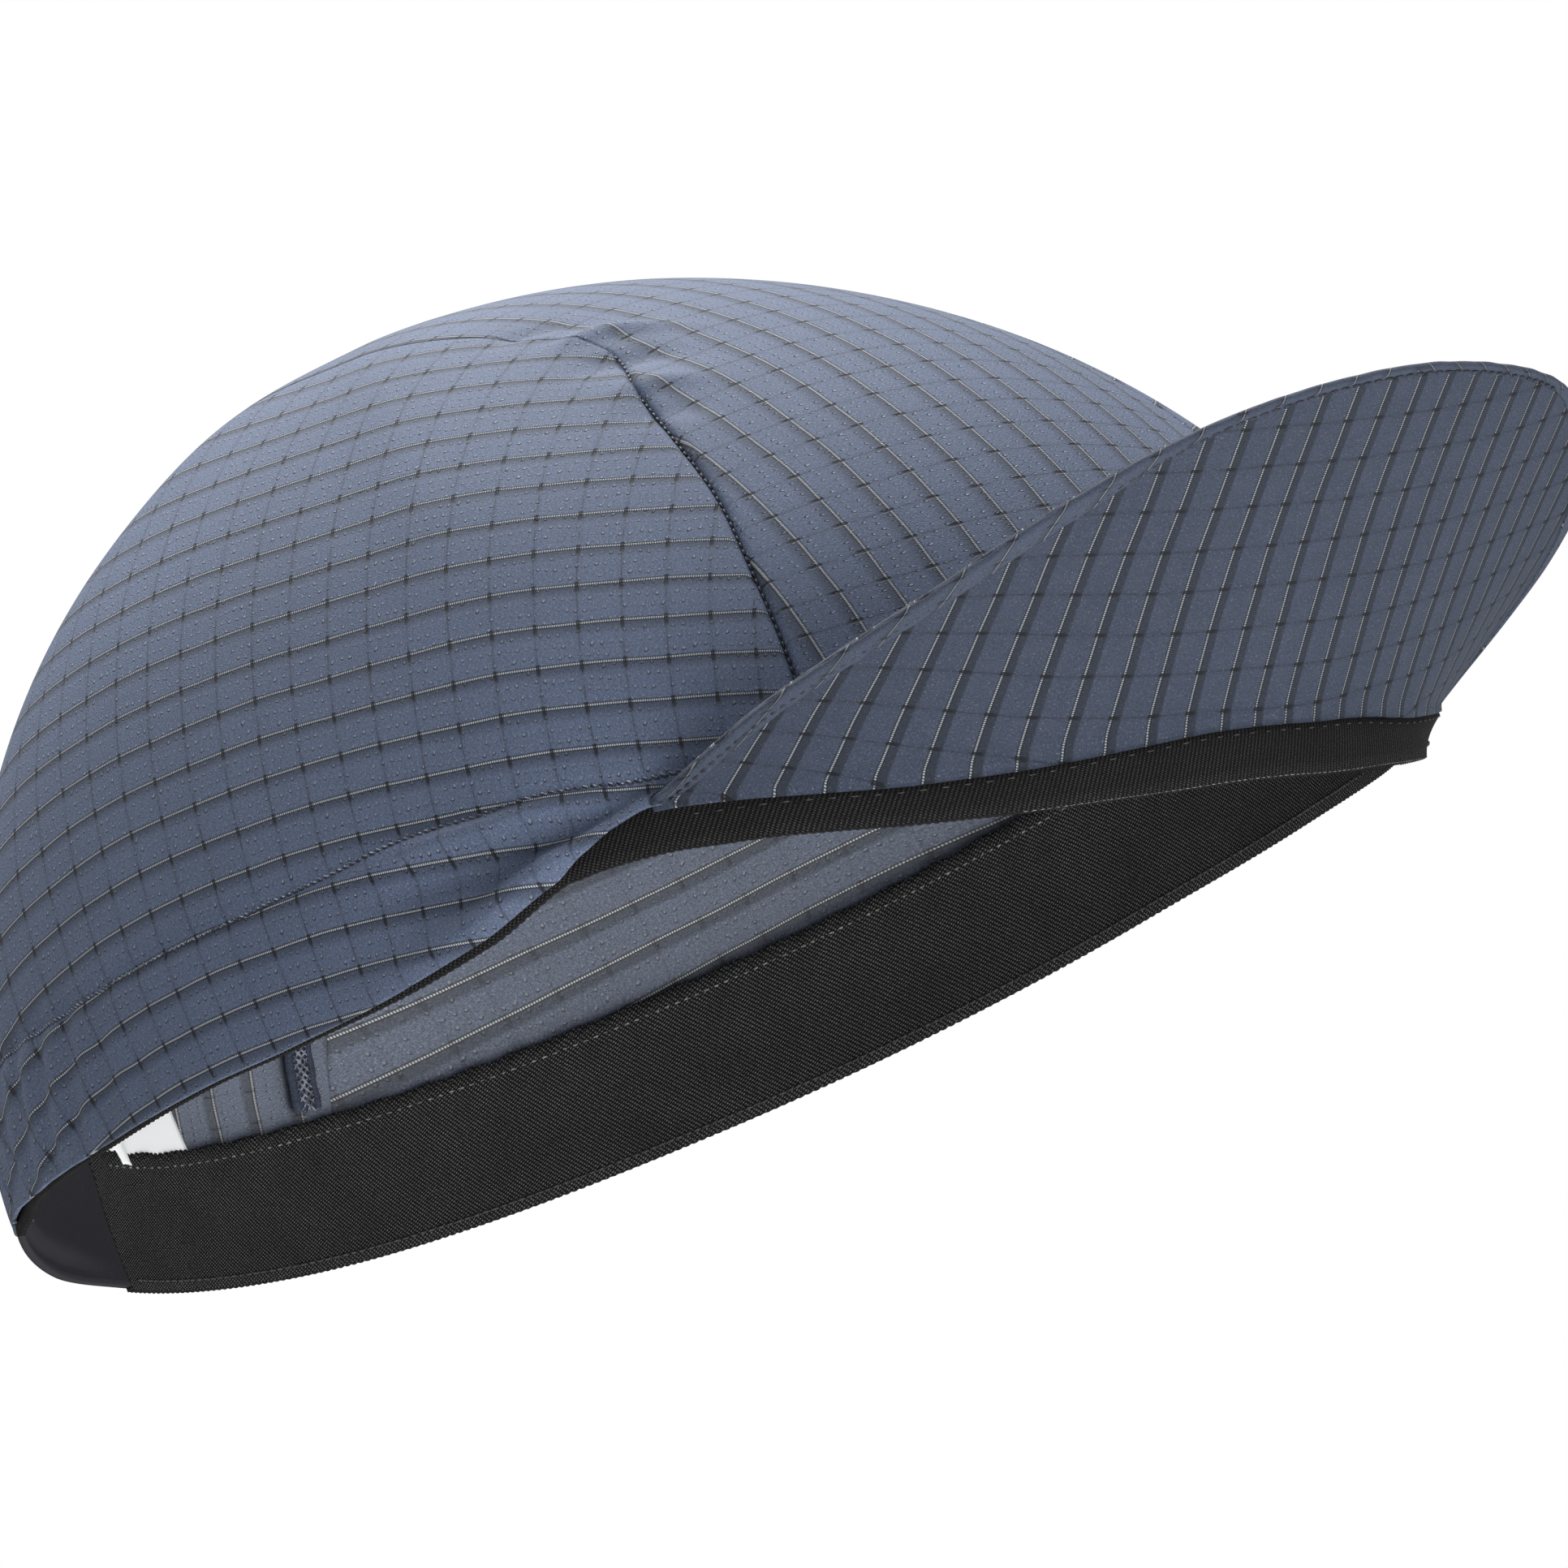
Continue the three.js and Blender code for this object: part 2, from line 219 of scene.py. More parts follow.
def seam_direction(side, roll, clear=0.0):
    roll = np.asarray(roll, float)
    spread = read_table(SEAM, roll) + clear
    drift = BACK_DRIFT * smooth(roll, BACK_DRIFT_FROM, 180)
    turn, r = np.radians(side * spread + drift), np.radians(roll)
    return np.stack([np.sin(turn), -np.cos(turn) * np.cos(r), np.cos(turn) * np.sin(r)], -1)


def seam_end(side, back, clear, height_at):
    """The roll at which a seam comes down to a height above the rim, found by halving."""
    low, high = (180.0 if back else 0.0), 90.0
    for _ in range(40):
        middle = (low + high) / 2
        d = seam_direction(side, middle, clear)
        if height_above_rim(d) > height_at(around_of(d)):
            high = middle
        else:
            low = middle
    return high


def mix(a, b, t):
    return a + (b - a) * t


def patch_direction(bottom, top, left, right):
    """Directions that fill a patch evenly between its four edges."""
    def place(u, v):
        u1, v1 = u[..., None], v[..., None]
        zero, one = np.zeros(1), np.ones(1)
        d = bottom(u) * (1 - v1) + top(u) * v1 + left(v) * (1 - u1) + right(v) * u1
        d = d - bottom(zero) * (1 - u1) * (1 - v1) - bottom(one) * u1 * (1 - v1)
        d = d - top(zero) * (1 - u1) * v1 - top(one) * u1 * v1
        return unit(d)
    return place


SEAM_CLEAR = math.degrees(-0.03 / HALF_WIDTH)


def hem_direction(around):
    return direction_above(around, hem_lift(around))


def panel_directions(side):
    start = seam_end(side, False, SEAM_CLEAR, hem_lift)
    finish = seam_end(side, True, SEAM_CLEAR, hem_lift)
    seam = lambda roll: seam_direction(side, roll, SEAM_CLEAR)
    front = float(around_of(seam(start)))
    back = float(around_of(seam(finish)))
    if side == LEFT:
        back %= 360
    return patch_direction(
        lambda u: hem_direction(mix(front, back, u)),
        lambda u: seam(mix(PANEL_CORNER_FRONT, PANEL_CORNER_BACK, u)),
        lambda v: seam(mix(start, PANEL_CORNER_FRONT, v)),
        lambda v: seam(mix(finish, PANEL_CORNER_BACK, v)),
    )


def strip_directions():
    def edge(side):
        start = seam_end(side, False, -SEAM_CLEAR, hem_lift)
        finish = seam_end(side, True, -SEAM_CLEAR, hem_lift)
        return lambda v: seam_direction(side, mix(start, finish, v), -SEAM_CLEAR)
    right, left = edge(RIGHT), edge(LEFT)

    def hem(v):
        at = np.full(1, v)
        start = float(around_of(right(at))[0]) % 360
        finish = float(around_of(left(at))[0]) % 360
        return lambda u: hem_direction(mix(start, finish, u))
    return patch_direction(hem(0.0), hem(1.0), right, left)


# Folds and gathers

# Folds drawn in towards the visor's ends: a line of (around, height above the rim), then how
# far the fold stands proud (in, where negative) and its half width in mm
FOLDS = [
    ([(12, 2.2), (23.7, 2.0), (29.8, 2.2), (35.7, 2.3), (40.3, 4.0), (43.5, 5.6)], 1.75, 2.6),
    ([(14, 11.5), (26, 8.9), (29.6, 7.2), (33.1, 5.8), (36.5, 5.2), (40.1, 5.7), (44, 6.6)], -1.5, 2.3),
    ([(16, 15.5), (27.4, 12.6), (31.2, 10.4), (35.3, 8.3), (39, 7.6)], 0.95, 1.6),
]


def fold_height(d):
    """How far the folds stand proud, on the wearer's right and, mirrored, on the left."""
    mirrored = np.array(d, float)
    mirrored[..., 0] = -np.abs(mirrored[..., 0])
    around = around_of(mirrored)
    height = height_above_rim(mirrored)
    total = np.zeros(around.shape)
    for line, proud, width in FOLDS:
        first, last = line[0][0], line[-1][0]
        along = np.clip((around - first) / (last - first), 0, 1)
        fade = smooth(along, 0.0, 0.55) * (1 - 0.55 * smooth(along, 0.7, 1.0))
        outside = bell(np.maximum(around - last, 0), 1.0)
        narrowing = width * (1.1 - 0.55 * along)
        total += proud * fade * outside * bell(height - read_table(line, around), narrowing)
    return total


FINE_GATHERS, BROAD_GATHERS = 0.14, 0.33
BROAD_GATHERS_AT = -20


def ripple(around, height):
    """Gathers where the elastic draws the cloth in: fine ones behind, broad ones low on the right."""
    arc = around * MM_PER_DEGREE
    lean = height * 0.16
    waves = np.sin(2 * np.pi * (arc + lean) / 4.7 + 1.3 * np.sin(arc * 0.21))
    waves = waves + 0.5 * np.sin(2 * np.pi * (arc - lean) / 7.9 + 2.0)
    low = smooth(height, 0.0, 3.0) * (1 - smooth(height, 13.0, 21.0))
    behind = 1.0 - 0.85 * smooth(apart(around, 270), 58, 92)
    clear_of_visor = smooth(apart(around, 90), 50, 62)
    fine = FINE_GATHERS * waves * behind * (1 - 0.6 * bell(around - BROAD_GATHERS_AT + 2, 13))
    broad = np.sin(2 * np.pi * (arc - 2 * lean) / 8.2 + 0.8) * bell(around - BROAD_GATHERS_AT, 13)
    return (fine + BROAD_GATHERS * broad) * low * clear_of_visor


SEAM_DEPTH, SEAM_HALF_WIDTH = 0.85, 0.45


def seam_dip(d, side):
    """The cloth turns in along a seam."""
    turn = np.degrees(np.arcsin(np.clip(d[..., 0], -1, 1)))
    roll = np.degrees(np.arctan2(d[..., 2], -d[..., 1]))
    drift = BACK_DRIFT * smooth(roll, BACK_DRIFT_FROM, 180)
    away = np.abs(turn - drift - side * read_table(SEAM, roll)) * math.radians(1) * HALF_WIDTH
    fading = 1 - 0.93 * smooth(roll, 44, 51)
    return -SEAM_DEPTH * bell(away, SEAM_HALF_WIDTH) * fading


# Creases where the side seams turn sharply: around, up, proud, half width and half length in mm
PUCKERS = [
    (63.5, 49.8, 1.0, 1.7, 6.5), (61.5, 45.0, -0.95, 2.2, 6.0),
    (62.0, 40.6, 0.75, 1.7, 5.0), (60.0, 36.8, -0.35, 1.6, 4.5), (56.0, 53.5, -0.5, 1.8, 5.0),
]
PUCKER_REACH = (88, 85)


def pucker(d):
    total = np.zeros(d.shape[:-1])
    for around, up, proud, wide, long in PUCKERS:
        centre = direction(np.array(around), np.array(up))
        sideways = unit(np.cross(np.array([0, 0, 1.0]), centre))
        lift = np.cross(centre, sideways)
        over, along = (d @ lift) * PUCKER_REACH[0], (d @ sideways) * PUCKER_REACH[1]
        near = (d @ centre) > 0
        total += proud * bell(over + 0.02 * along * along, wide) * bell(along, long) * near
    return total


# Where the cloth stands a little fuller: (around, up), proud and reach in mm
SWELLS = [((-1.0, 67.5), 1.1, 15.0), ((-24.0, 54.0), 0.25, 16.0)]


def swell(d):
    total = np.zeros(d.shape[:-1])
    for centre, proud, reach in SWELLS:
        away = np.linalg.norm(bare_dome(d) - bare_dome(direction(*map(np.array, centre))), axis=-1)
        total += proud * bell(away, reach)
    return total


STITCH_LINE_DEPTH, STITCH_LINE_HALF_WIDTH = 0.42, 0.85


def crown_lift(d):
    """How far the crown's cloth stands proud of the plain dome."""
    around, height = around_of(d), height_above_rim(d)
    lift = fold_height(d) + ripple(around, height) + pucker(d) + swell(d)
    lift = lift + seam_dip(d, RIGHT) + seam_dip(d, LEFT)
    # The stitching that holds the band draws a shallow line round the cloth
    return lift - STITCH_LINE_DEPTH * bell(height - stitch_height(around), STITCH_LINE_HALF_WIDTH)


def crown_surface(d):
    return bare_dome(d) + dome_normal(d) * crown_lift(d)[..., None]


# Height above the rim of the stitch that holds the band's top edge, by degrees from the front
BAND_STITCH = [
    (0, 9.5), (36, 9.0), (43.4, 8.4), (47, 8.2), (51, 8.9), (56, 10.5), (59.5, 12.3),
    (63, 14.3), (70, 16.0), (80, 16.2), (180, 16.2),
]


def stitch_height(around):
    return read_table(BAND_STITCH, apart(around, 90))


# Sheets and stitches

def sheet_object(name, columns, rows, place, cells, thick, finish, outward, inside=None):
    """A cloth sheet: place(u, v) gives its outer face in mm and cells(u, v) its weave."""
    bm = bmesh.new()
    bmesh.ops.create_grid(bm, x_segments=columns, y_segments=rows, size=0.5)
    mesh = bpy.data.meshes.new(name)
    bm.to_mesh(mesh)
    bm.free()
    flat = np.empty(len(mesh.vertices) * 3)
    mesh.vertices.foreach_get("co", flat)
    u, v = (flat.reshape(-1, 3)[:, :2] + 0.5).T
    mesh.vertices.foreach_set("co", (place(u, v) * MM).ravel())
    weave = mesh.uv_layers.new(name="weave")
    index = np.empty(len(mesh.loops), int)
    mesh.loops.foreach_get("vertex_index", index)
    weave.data.foreach_set("uv", cells(u, v)[index].ravel())
    mesh.update()
    # A sample of its faces tells which way the sheet looks
    facing = sum(f.normal.dot(Vector(outward(f.center))) for f in list(mesh.polygons)[::37])
    if facing < 0:
        mesh.flip_normals()
    mesh.shade_smooth()
    mesh.materials.append(finish)
    piece = bpy.data.objects.new(name, mesh)
    bpy.context.scene.collection.objects.link(piece)
    if thick:
        wall = piece.modifiers.new("wall", "SOLIDIFY")
        wall.thickness = thick * MM
        wall.offset = -1
        if inside:
            mesh.materials.append(inside)
            wall.material_offset = 1
    return piece


def out_from_head(point):
    """Roughly outwards at a point, in metres, from the middle of the head."""
    return point - Vector((0, 0.009, 0.01))


def in_to_head(point):
    return -out_from_head(point)


def evenly(points, pitch):
    """Places at an even pitch along a line, as numbers that count along its points."""
    steps = np.linalg.norm(np.diff(points, axis=0), axis=1)
    run = np.concatenate([[0], np.cumsum(steps)])
    count = max(2, int(run[-1] / pitch))
    at = (np.arange(count) + 0.5) * run[-1] / count
    return np.interp(at, run, np.arange(len(points)))


def at_number(values, number):
    return np.stack([np.interp(number, np.arange(len(values)), values[:, k]) for k in range(3)], -1)


STITCH_HEIGHT = 0.7
STITCHES_AT_A_TIME = 40


def stitch_row(name, points, normals, pitch, length, width, finish, turn=0.0, lean=False):
    """Stitches along a line. turn tilts them to one side and the other, or all one way to lean."""
    number = evenly(points, pitch)
    bm = bmesh.new()
    centre = at_number(points, number)
    ahead = at_number(points, np.minimum(number + 0.5, len(points) - 1))
    behind = at_number(points, np.maximum(number - 0.5, 0))
    up = unit(at_number(normals, number))
    along = unit(ahead - behind)
    across = unit(np.cross(up, along))
    batch = bmesh.new()
    part = bpy.data.meshes.new("batch")
    for i in range(len(number)):
        tilt = math.radians(turn if i % 2 or lean else -turn)
        run = along[i] * math.cos(tilt) + across[i] * math.sin(tilt)
        side = np.cross(up[i], run)
        laid = Matrix((
            (*(side * width / 2), 0), (*(up[i] * width * STITCH_HEIGHT / 2), 0),
            (*(run * length / 2), 0), (0, 0, 0, 1),
        )).transposed()
        laid.translation = Vector(centre[i])
        bmesh.ops.create_uvsphere(
            batch, u_segments=6, v_segments=5, radius=1, matrix=Matrix.Scale(MM, 4) @ laid,
        )
        if (i + 1) % STITCHES_AT_A_TIME == 0 or i == len(number) - 1:
            batch.to_mesh(part)
            bm.from_mesh(part)
            batch.clear()
    batch.free()
    bpy.data.meshes.remove(part)
    bmesh.ops.recalc_face_normals(bm, faces=bm.faces)
    mesh = bpy.data.meshes.new(name)
    bm.to_mesh(mesh)
    bm.free()
    mesh.shade_smooth()
    mesh.materials.append(finish)
    piece = bpy.data.objects.new(name, mesh)
    bpy.context.scene.collection.objects.link(piece)
    return piece


def settle(piece, slot, *nodes):
    """A piece rides on the cap's one body, and stands for the nodes that are named."""
    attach(piece, BODY)
    if nodes:
        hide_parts(*nodes)
    return piece


# Node helpers

class Wiring:
    """Short names for adding nodes to a tree."""

    def __init__(self, tree):
        self.tree = tree

    def put(self, kind, **settings):
        node = self.tree.nodes.new(kind)
        for key, value in settings.items():
            setattr(node, key, value)
        return node

    def feed(self, socket, value):
        if isinstance(value, bpy.types.NodeSocket):
            self.tree.links.new(value, socket)
        elif value is not None:
            socket.default_value = value

    def math(self, operation, a, b=None, c=None, clamp=False):
        node = self.put("ShaderNodeMath", operation=operation, use_clamp=clamp)
        for socket, value in zip(node.inputs, (a, b, c)):
            self.feed(socket, value)
        return node.outputs[0]

    def times(self, a, b):
        return self.math("MULTIPLY", a, b)

    def uneven(self, noise, amount):
        """1, give or take a noise's distance from its middle."""
        return self.math("MULTIPLY_ADD", self.math("SUBTRACT", noise, 0.5), amount, 1.0)

    def ramp(self, value, low, high, start=0.0, end=1.0):
        node = self.put("ShaderNodeMapRange", interpolation_type="SMOOTHSTEP")
        for socket, given in zip(node.inputs, (value, low, high, start, end)):
            self.feed(socket, given)
        return node.outputs[0]

    def blend(self, amount, a, b, kind="MIX"):
        node = self.put("ShaderNodeMix", data_type="RGBA", blend_type=kind)
        node.clamp_factor = True
        self.feed(node.inputs[0], amount)
        self.feed(node.inputs[6], a)
        self.feed(node.inputs[7], b)
        return node.outputs[2]

    def noise(self, vector, scale, detail=2.0, rough=0.5):
        node = self.put("ShaderNodeTexNoise")
        self.feed(node.inputs["Vector"], vector)
        node.inputs["Scale"].default_value = scale
        node.inputs["Detail"].default_value = detail
        node.inputs["Roughness"].default_value = rough
        return node.outputs["Fac"]


def new_group(name, inputs, outputs):
    tree = bpy.data.node_groups.new(name, "ShaderNodeTree")
    for key, kind, value in inputs:
        socket = tree.interface.new_socket(key, in_out="INPUT", socket_type=kind)
        if value is not None:
            socket.default_value = value
    for key, kind in outputs:
        tree.interface.new_socket(key, in_out="OUTPUT", socket_type=kind)
    wires = Wiring(tree)
    return tree, wires, wires.put("NodeGroupInput").outputs, wires.put("NodeGroupOutput").inputs


FLOAT, COLOR, VECTOR = "NodeSocketFloat", "NodeSocketColor", "NodeSocketVector"


def gridded_cloth():
    """Woven cloth with a dotted heavy thread each cell one way and a faint line the other way, with painted
    shadow beside the heavy threads and painted highlight and shadow on its small dents.
    """
    tree, w, given, out = new_group("gridded_cloth", [
        ("Cells", VECTOR, None), ("Cloth", COLOR, (0.1, 0.13, 0.18, 1)),
        ("Thread", COLOR, (0.4, 0.45, 0.5, 1)), ("Dark", COLOR, (0.02, 0.02, 0.03, 1)),
        ("Dimples", FLOAT, 1.0), ("Groove Shadow Depth", FLOAT, 0.6), ("Band Width", FLOAT, 0.2),
        ("Groove Shadow Hold", FLOAT, 0.8), ("Cross Depth", FLOAT, 0.3), ("Tick Depth", FLOAT, 0.8),
    ], [("Color", COLOR), ("Height", FLOAT), ("Roughness", FLOAT)])
    split = w.put("ShaderNodeSeparateXYZ")
    w.feed(split.inputs[0], given["Cells"])
    wander = w.times(w.math("SUBTRACT", w.noise(given["Cells"], 0.35, 1.0), 0.5), 0.12)
    across = w.math("ADD", split.outputs[0], wander)
    along = w.math("SUBTRACT", split.outputs[1], wander)
    fx = w.math("SUBTRACT", w.math("FRACT", across), 0.5)
    fy = w.math("SUBTRACT", w.math("FRACT", along), 0.5)
    near_x = w.math("ABSOLUTE", fx)
    near_y = w.math("ABSOLUTE", fy)
    patchy = w.noise(given["Cells"], 2.3, 2.0)

    # the heavy thread, dotted where it goes over and under, with along one side a groove whose dark band is
    # painted shadow
    thread = w.ramp(near_x, 0.014, 0.031, 1.0, 0.0)
    beads = w.math("MULTIPLY_ADD", w.math("SINE", w.times(along, 2 * math.pi * 19)), 0.5, 0.5)
    lit = w.times(thread, w.math("MULTIPLY_ADD", w.ramp(beads, 0.2, 0.8), 0.85, 0.15))
    # a thin painted shadow on both sides of the heavy thread
    thread_shadow = w.ramp(near_x, 0.03, 0.075, 1.0, 0.0)
    inner_edge = w.times(given["Band Width"], given["Groove Shadow Hold"])
    groove_and_shadow = w.ramp(fx, inner_edge, given["Band Width"], 1.0, 0.0)
    groove_and_shadow = w.times(w.ramp(fx, -0.01, 0.03), groove_and_shadow)

    # the faint line across and the dark tick where the two meet
    cross = w.times(w.ramp(near_y, 0.008, 0.03, 1.0, 0.0), w.ramp(patchy, 0.3, 0.6))
    cross_shade = w.ramp(near_y, 0.02, 0.14, 1.0, 0.0)
    tick = w.times(w.ramp(fx, -0.1, -0.05), w.ramp(fx, 0.12, 0.27, 1.0, 0.0))
    tick = w.times(tick, w.ramp(near_y, 0.025, 0.062, 1.0, 0.0))

    # staggered small dents between the lines, no two quite alike, each with a painted highlight in its
    # middle and a painted shadow on one side of its rim
    drift = w.times(w.math("SUBTRACT", w.noise(given["Cells"], 1.7, 1.0), 0.5), 0.9)
    bump_x = w.math("ADD", w.times(across, 3.5), drift)
    row = w.math("FLOOR", bump_x)
    bump_y = w.math("SUBTRACT", w.math("MULTIPLY_ADD", row, 0.5, w.times(along, 4.6)), drift)
    bx = w.math("SUBTRACT", w.math("FRACT", bump_x), 0.5)
    by = w.math("SUBTRACT", w.math("FRACT", bump_y), 0.5)
    place = w.put("ShaderNodeCombineXYZ")
    w.feed(place.inputs[0], row)
    w.feed(place.inputs[1], w.math("FLOOR", bump_y))
    chance = w.put("ShaderNodeTexWhiteNoise", noise_dimensions="2D")
    w.feed(chance.inputs["Vector"], place.outputs[0])
    strength = w.times(w.ramp(chance.outputs["Value"], 0.0, 0.8, 0.15, 1.0), given["Dimples"])
    reach = w.math("SQRT", w.math("ADD", w.times(bx, bx), w.times(by, by)))
    # top: the painted highlight on each dent
    top = w.times(w.ramp(reach, 0.04, 0.17, 1.0, 0.0), strength)
    ring = w.ramp(w.math("ABSOLUTE", w.math("SUBTRACT", reach, 0.17)), 0.0, 0.1, 1.0, 0.0)
    dent_shadow = w.times(w.times(ring, w.ramp(bx, -0.02, 0.12)), strength)

    # fine weave and uneven dye
    rows_of_yarn = w.put("ShaderNodeVectorMath", operation="MULTIPLY")
    w.feed(rows_of_yarn.inputs[0], given["Cells"])
    rows_of_yarn.inputs[1].default_value = (52.0, 19.0, 1.0)
    yarn = w.noise(rows_of_yarn.outputs[0], 1.0, 1.0)
    fine = w.noise(given["Cells"], 33.0, 3.0, 0.65)
    broad = w.noise(given["Cells"], 0.22, 3.0, 0.6)
    grain = w.noise(given["Cells"], 13.0, 2.0, 0.7)
    speck = w.uneven(fine, 2.0)
    for noise, amount in ((yarn, 1.3), (broad, 0.3), (grain, 1.0)):
        speck = w.times(speck, w.uneven(noise, amount))
    tinted = w.put("ShaderNodeVectorMath", operation="SCALE")
    w.feed(tinted.inputs[0], given["Cloth"])
    w.feed(tinted.inputs["Scale"], speck)
    color = w.blend(w.times(w.ramp(patchy, 0.4, 0.7), 0.05), tinted.outputs[0], (0.16, 0.13, 0.2, 1))
    flecks = w.times(w.ramp(w.noise(given["Cells"], 21.0, 2.0, 0.7), 0.58, 0.75), 0.4)
    color = w.blend(flecks, color, given["Thread"])
    dark, pale = given["Dark"], given["Thread"]
    # painted shadow and painted highlight on the dents
    color = w.blend(w.times(dent_shadow, 0.85), color, dark)
    color = w.blend(w.times(top, 0.34), color, pale)
    # painted shadow band along one side of each heavy thread
    color = w.blend(w.times(groove_and_shadow, given["Groove Shadow Depth"]), color, dark)
    color = w.blend(w.times(cross_shade, w.times(given["Cross Depth"], 0.22)), color, dark)
    color = w.blend(w.times(cross, given["Cross Depth"]), color, dark)
    # painted shadow round the heavy thread
    color = w.blend(w.times(thread_shadow, 0.75), color, dark)
    color = w.blend(lit, color, pale)
    color = w.blend(w.times(tick, given["Tick Depth"]), color, dark)
    w.feed(out["Color"], color)

    height = w.math("MULTIPLY_ADD", top, 0.4, w.times(lit, 0.3))
    height = w.math("SUBTRACT", height, w.times(dent_shadow, 0.3))
    height = w.math("SUBTRACT", height, w.times(groove_and_shadow, 0.35))
    height = w.math("SUBTRACT", height, w.times(tick, 0.45))
    height = w.math("ADD", height, w.times(w.math("ADD", fine, yarn), 0.3))
    w.feed(out["Height"], height)
    w.feed(out["Roughness"], w.math("MULTIPLY_ADD", fine, 0.2, 0.68))
    return tree


def finish_of(name):
    finish = bpy.data.materials.new(name)
    finish.use_nodes = True
    finish.node_tree.nodes.clear()
    w = Wiring(finish.node_tree)
    shader = w.put("ShaderNodeBsdfPrincipled")
    output = w.put("ShaderNodeOutputMaterial")
    w.feed(output.inputs["Surface"], shader.outputs[0])
    return finish, w, shader


def add_bump(w, shader, height, distance, strength=1.0):
    bump = w.put("ShaderNodeBump")
    bump.inputs["Distance"].default_value = distance
    bump.inputs["Strength"].default_value = strength
    w.feed(bump.inputs["Height"], height)
    w.feed(shader.inputs["Normal"], bump.outputs[0])


GRID_GROUP = gridded_cloth()


def cloth_finish(name, cloth, thread, dark, dimples, band, cross):
    """Gridded cloth: band is the depth, width and hold of the painted shadow band beside each heavy thread,
    cross its line and tick depth.
    """
    finish, w, shader = finish_of(name)
    uv = w.put("ShaderNodeUVMap", uv_map="weave")
    weave = w.put("ShaderNodeGroup", node_tree=GRID_GROUP)
    w.feed(weave.inputs["Cells"], uv.outputs[0])
    weave.inputs["Cloth"].default_value = (*cloth, 1)
    weave.inputs["Thread"].default_value = (*thread, 1)
    weave.inputs["Dark"].default_value = (*dark, 1)
    weave.inputs["Dimples"].default_value = dimples
    for key, value in zip(("Groove Shadow Depth", "Band Width", "Groove Shadow Hold"), band):
        weave.inputs[key].default_value = value
    weave.inputs["Cross Depth"].default_value, weave.inputs["Tick Depth"].default_value = cross
    w.feed(shader.inputs["Base Color"], weave.outputs["Color"])
    w.feed(shader.inputs["Roughness"], weave.outputs["Roughness"])
    shader.inputs["Specular IOR Level"].default_value = 0.28
    add_bump(w, shader, weave.outputs["Height"], 0.00022)
    return finish


def knit_grain():
    """Fine black knit with a slanting grain and paler specks."""
    tree, w, given, out = new_group("knit_grain", [
        ("Cells", VECTOR, None), ("Base", COLOR, (0.014, 0.014, 0.014, 1)),
        ("Speck", COLOR, (0.09, 0.09, 0.09, 1)), ("Amount", FLOAT, 0.6),
    ], [("Color", COLOR), ("Height", FLOAT)])
    split = w.put("ShaderNodeSeparateXYZ")
    w.feed(split.inputs[0], given["Cells"])
    slant = w.math("ADD", split.outputs[0], w.times(split.outputs[1], 0.6))
    rows = w.math("SINE", w.times(slant, 2 * math.pi * 7.0))
    ribs = w.math("SINE", w.times(split.outputs[1], 2 * math.pi * 9.0))
    loops = w.math("MULTIPLY_ADD", w.times(rows, ribs), 0.36, 0.6)
    fine = w.noise(given["Cells"], 30.0, 3.0, 0.7)
    broad = w.noise(given["Cells"], 0.5, 2.0)
    amount = w.times(w.ramp(w.times(loops, fine), 0.28, 0.62), given["Amount"])
    amount = w.times(amount, w.math("MULTIPLY_ADD", broad, 0.8, 0.6))
    w.feed(out["Color"], w.blend(amount, given["Base"], given["Speck"]))
    w.feed(out["Height"], w.times(loops, fine))
    return tree


KNIT_GROUP = knit_grain()


def knit_finish(name, base, speck, amount, rough, bump):
    finish, w, shader = finish_of(name)
    uv = w.put("ShaderNodeUVMap", uv_map="weave")
    knit = w.put("ShaderNodeGroup", node_tree=KNIT_GROUP)
    w.feed(knit.inputs["Cells"], uv.outputs[0])
    knit.inputs["Base"].default_value = (*base, 1)
    knit.inputs["Speck"].default_value = (*speck, 1)
    knit.inputs["Amount"].default_value = amount
    w.feed(shader.inputs["Base Color"], knit.outputs["Color"])
    shader.inputs["Roughness"].default_value = rough
    shader.inputs["Specular IOR Level"].default_value = 0.12
    add_bump(w, shader, knit.outputs["Height"], bump)
    return finish


def thread_finish(name, base, pale, scale=2500.0):
    finish, w, shader = finish_of(name)
    place = w.put("ShaderNodeTexCoord").outputs["Object"]
    twist = w.noise(place, scale, 2.0)
    w.feed(shader.inputs["Base Color"], w.blend(w.ramp(twist, 0.4, 0.62), (*base, 1), (*pale, 1)))
    shader.inputs["Roughness"].default_value = 0.6
    add_bump(w, shader, twist, 0.00006)
    return finish


def label_finish():
    finish, w, shader = finish_of("label_satin")
    uv = w.put("ShaderNodeUVMap", uv_map="weave").outputs[0]
    grain = w.noise(uv, 60.0, 2.0)
    shade = w.blend(w.ramp(grain, 0.35, 0.65), (0.9, 0.9, 0.9, 1), (0.97, 0.97, 0.97, 1))
    w.feed(shader.inputs["Base Color"], shade)
    shader.inputs["Roughness"].default_value = 0.5
    add_bump(w, shader, grain, 0.00004)
    return finish


CROWN_CLOTH = cloth_finish(
    "crown_cloth", (0.094, 0.122, 0.192), (0.50, 0.52, 0.54), (0.008, 0.009, 0.013),
    1.0, (0.5, 0.38, 0.15), (0.42, 0.85))
# The inside face is paler than the outside: partly the cloth's reverse, partly painted light standing in
# for light from below and through the cloth.
CROWN_INSIDE = cloth_finish(
    "crown_inside", (0.142, 0.162, 0.208), (0.60, 0.615, 0.61), (0.04, 0.039, 0.037),
    0.8, (0.5, 0.32, 0.6), (0.14, 0.3))
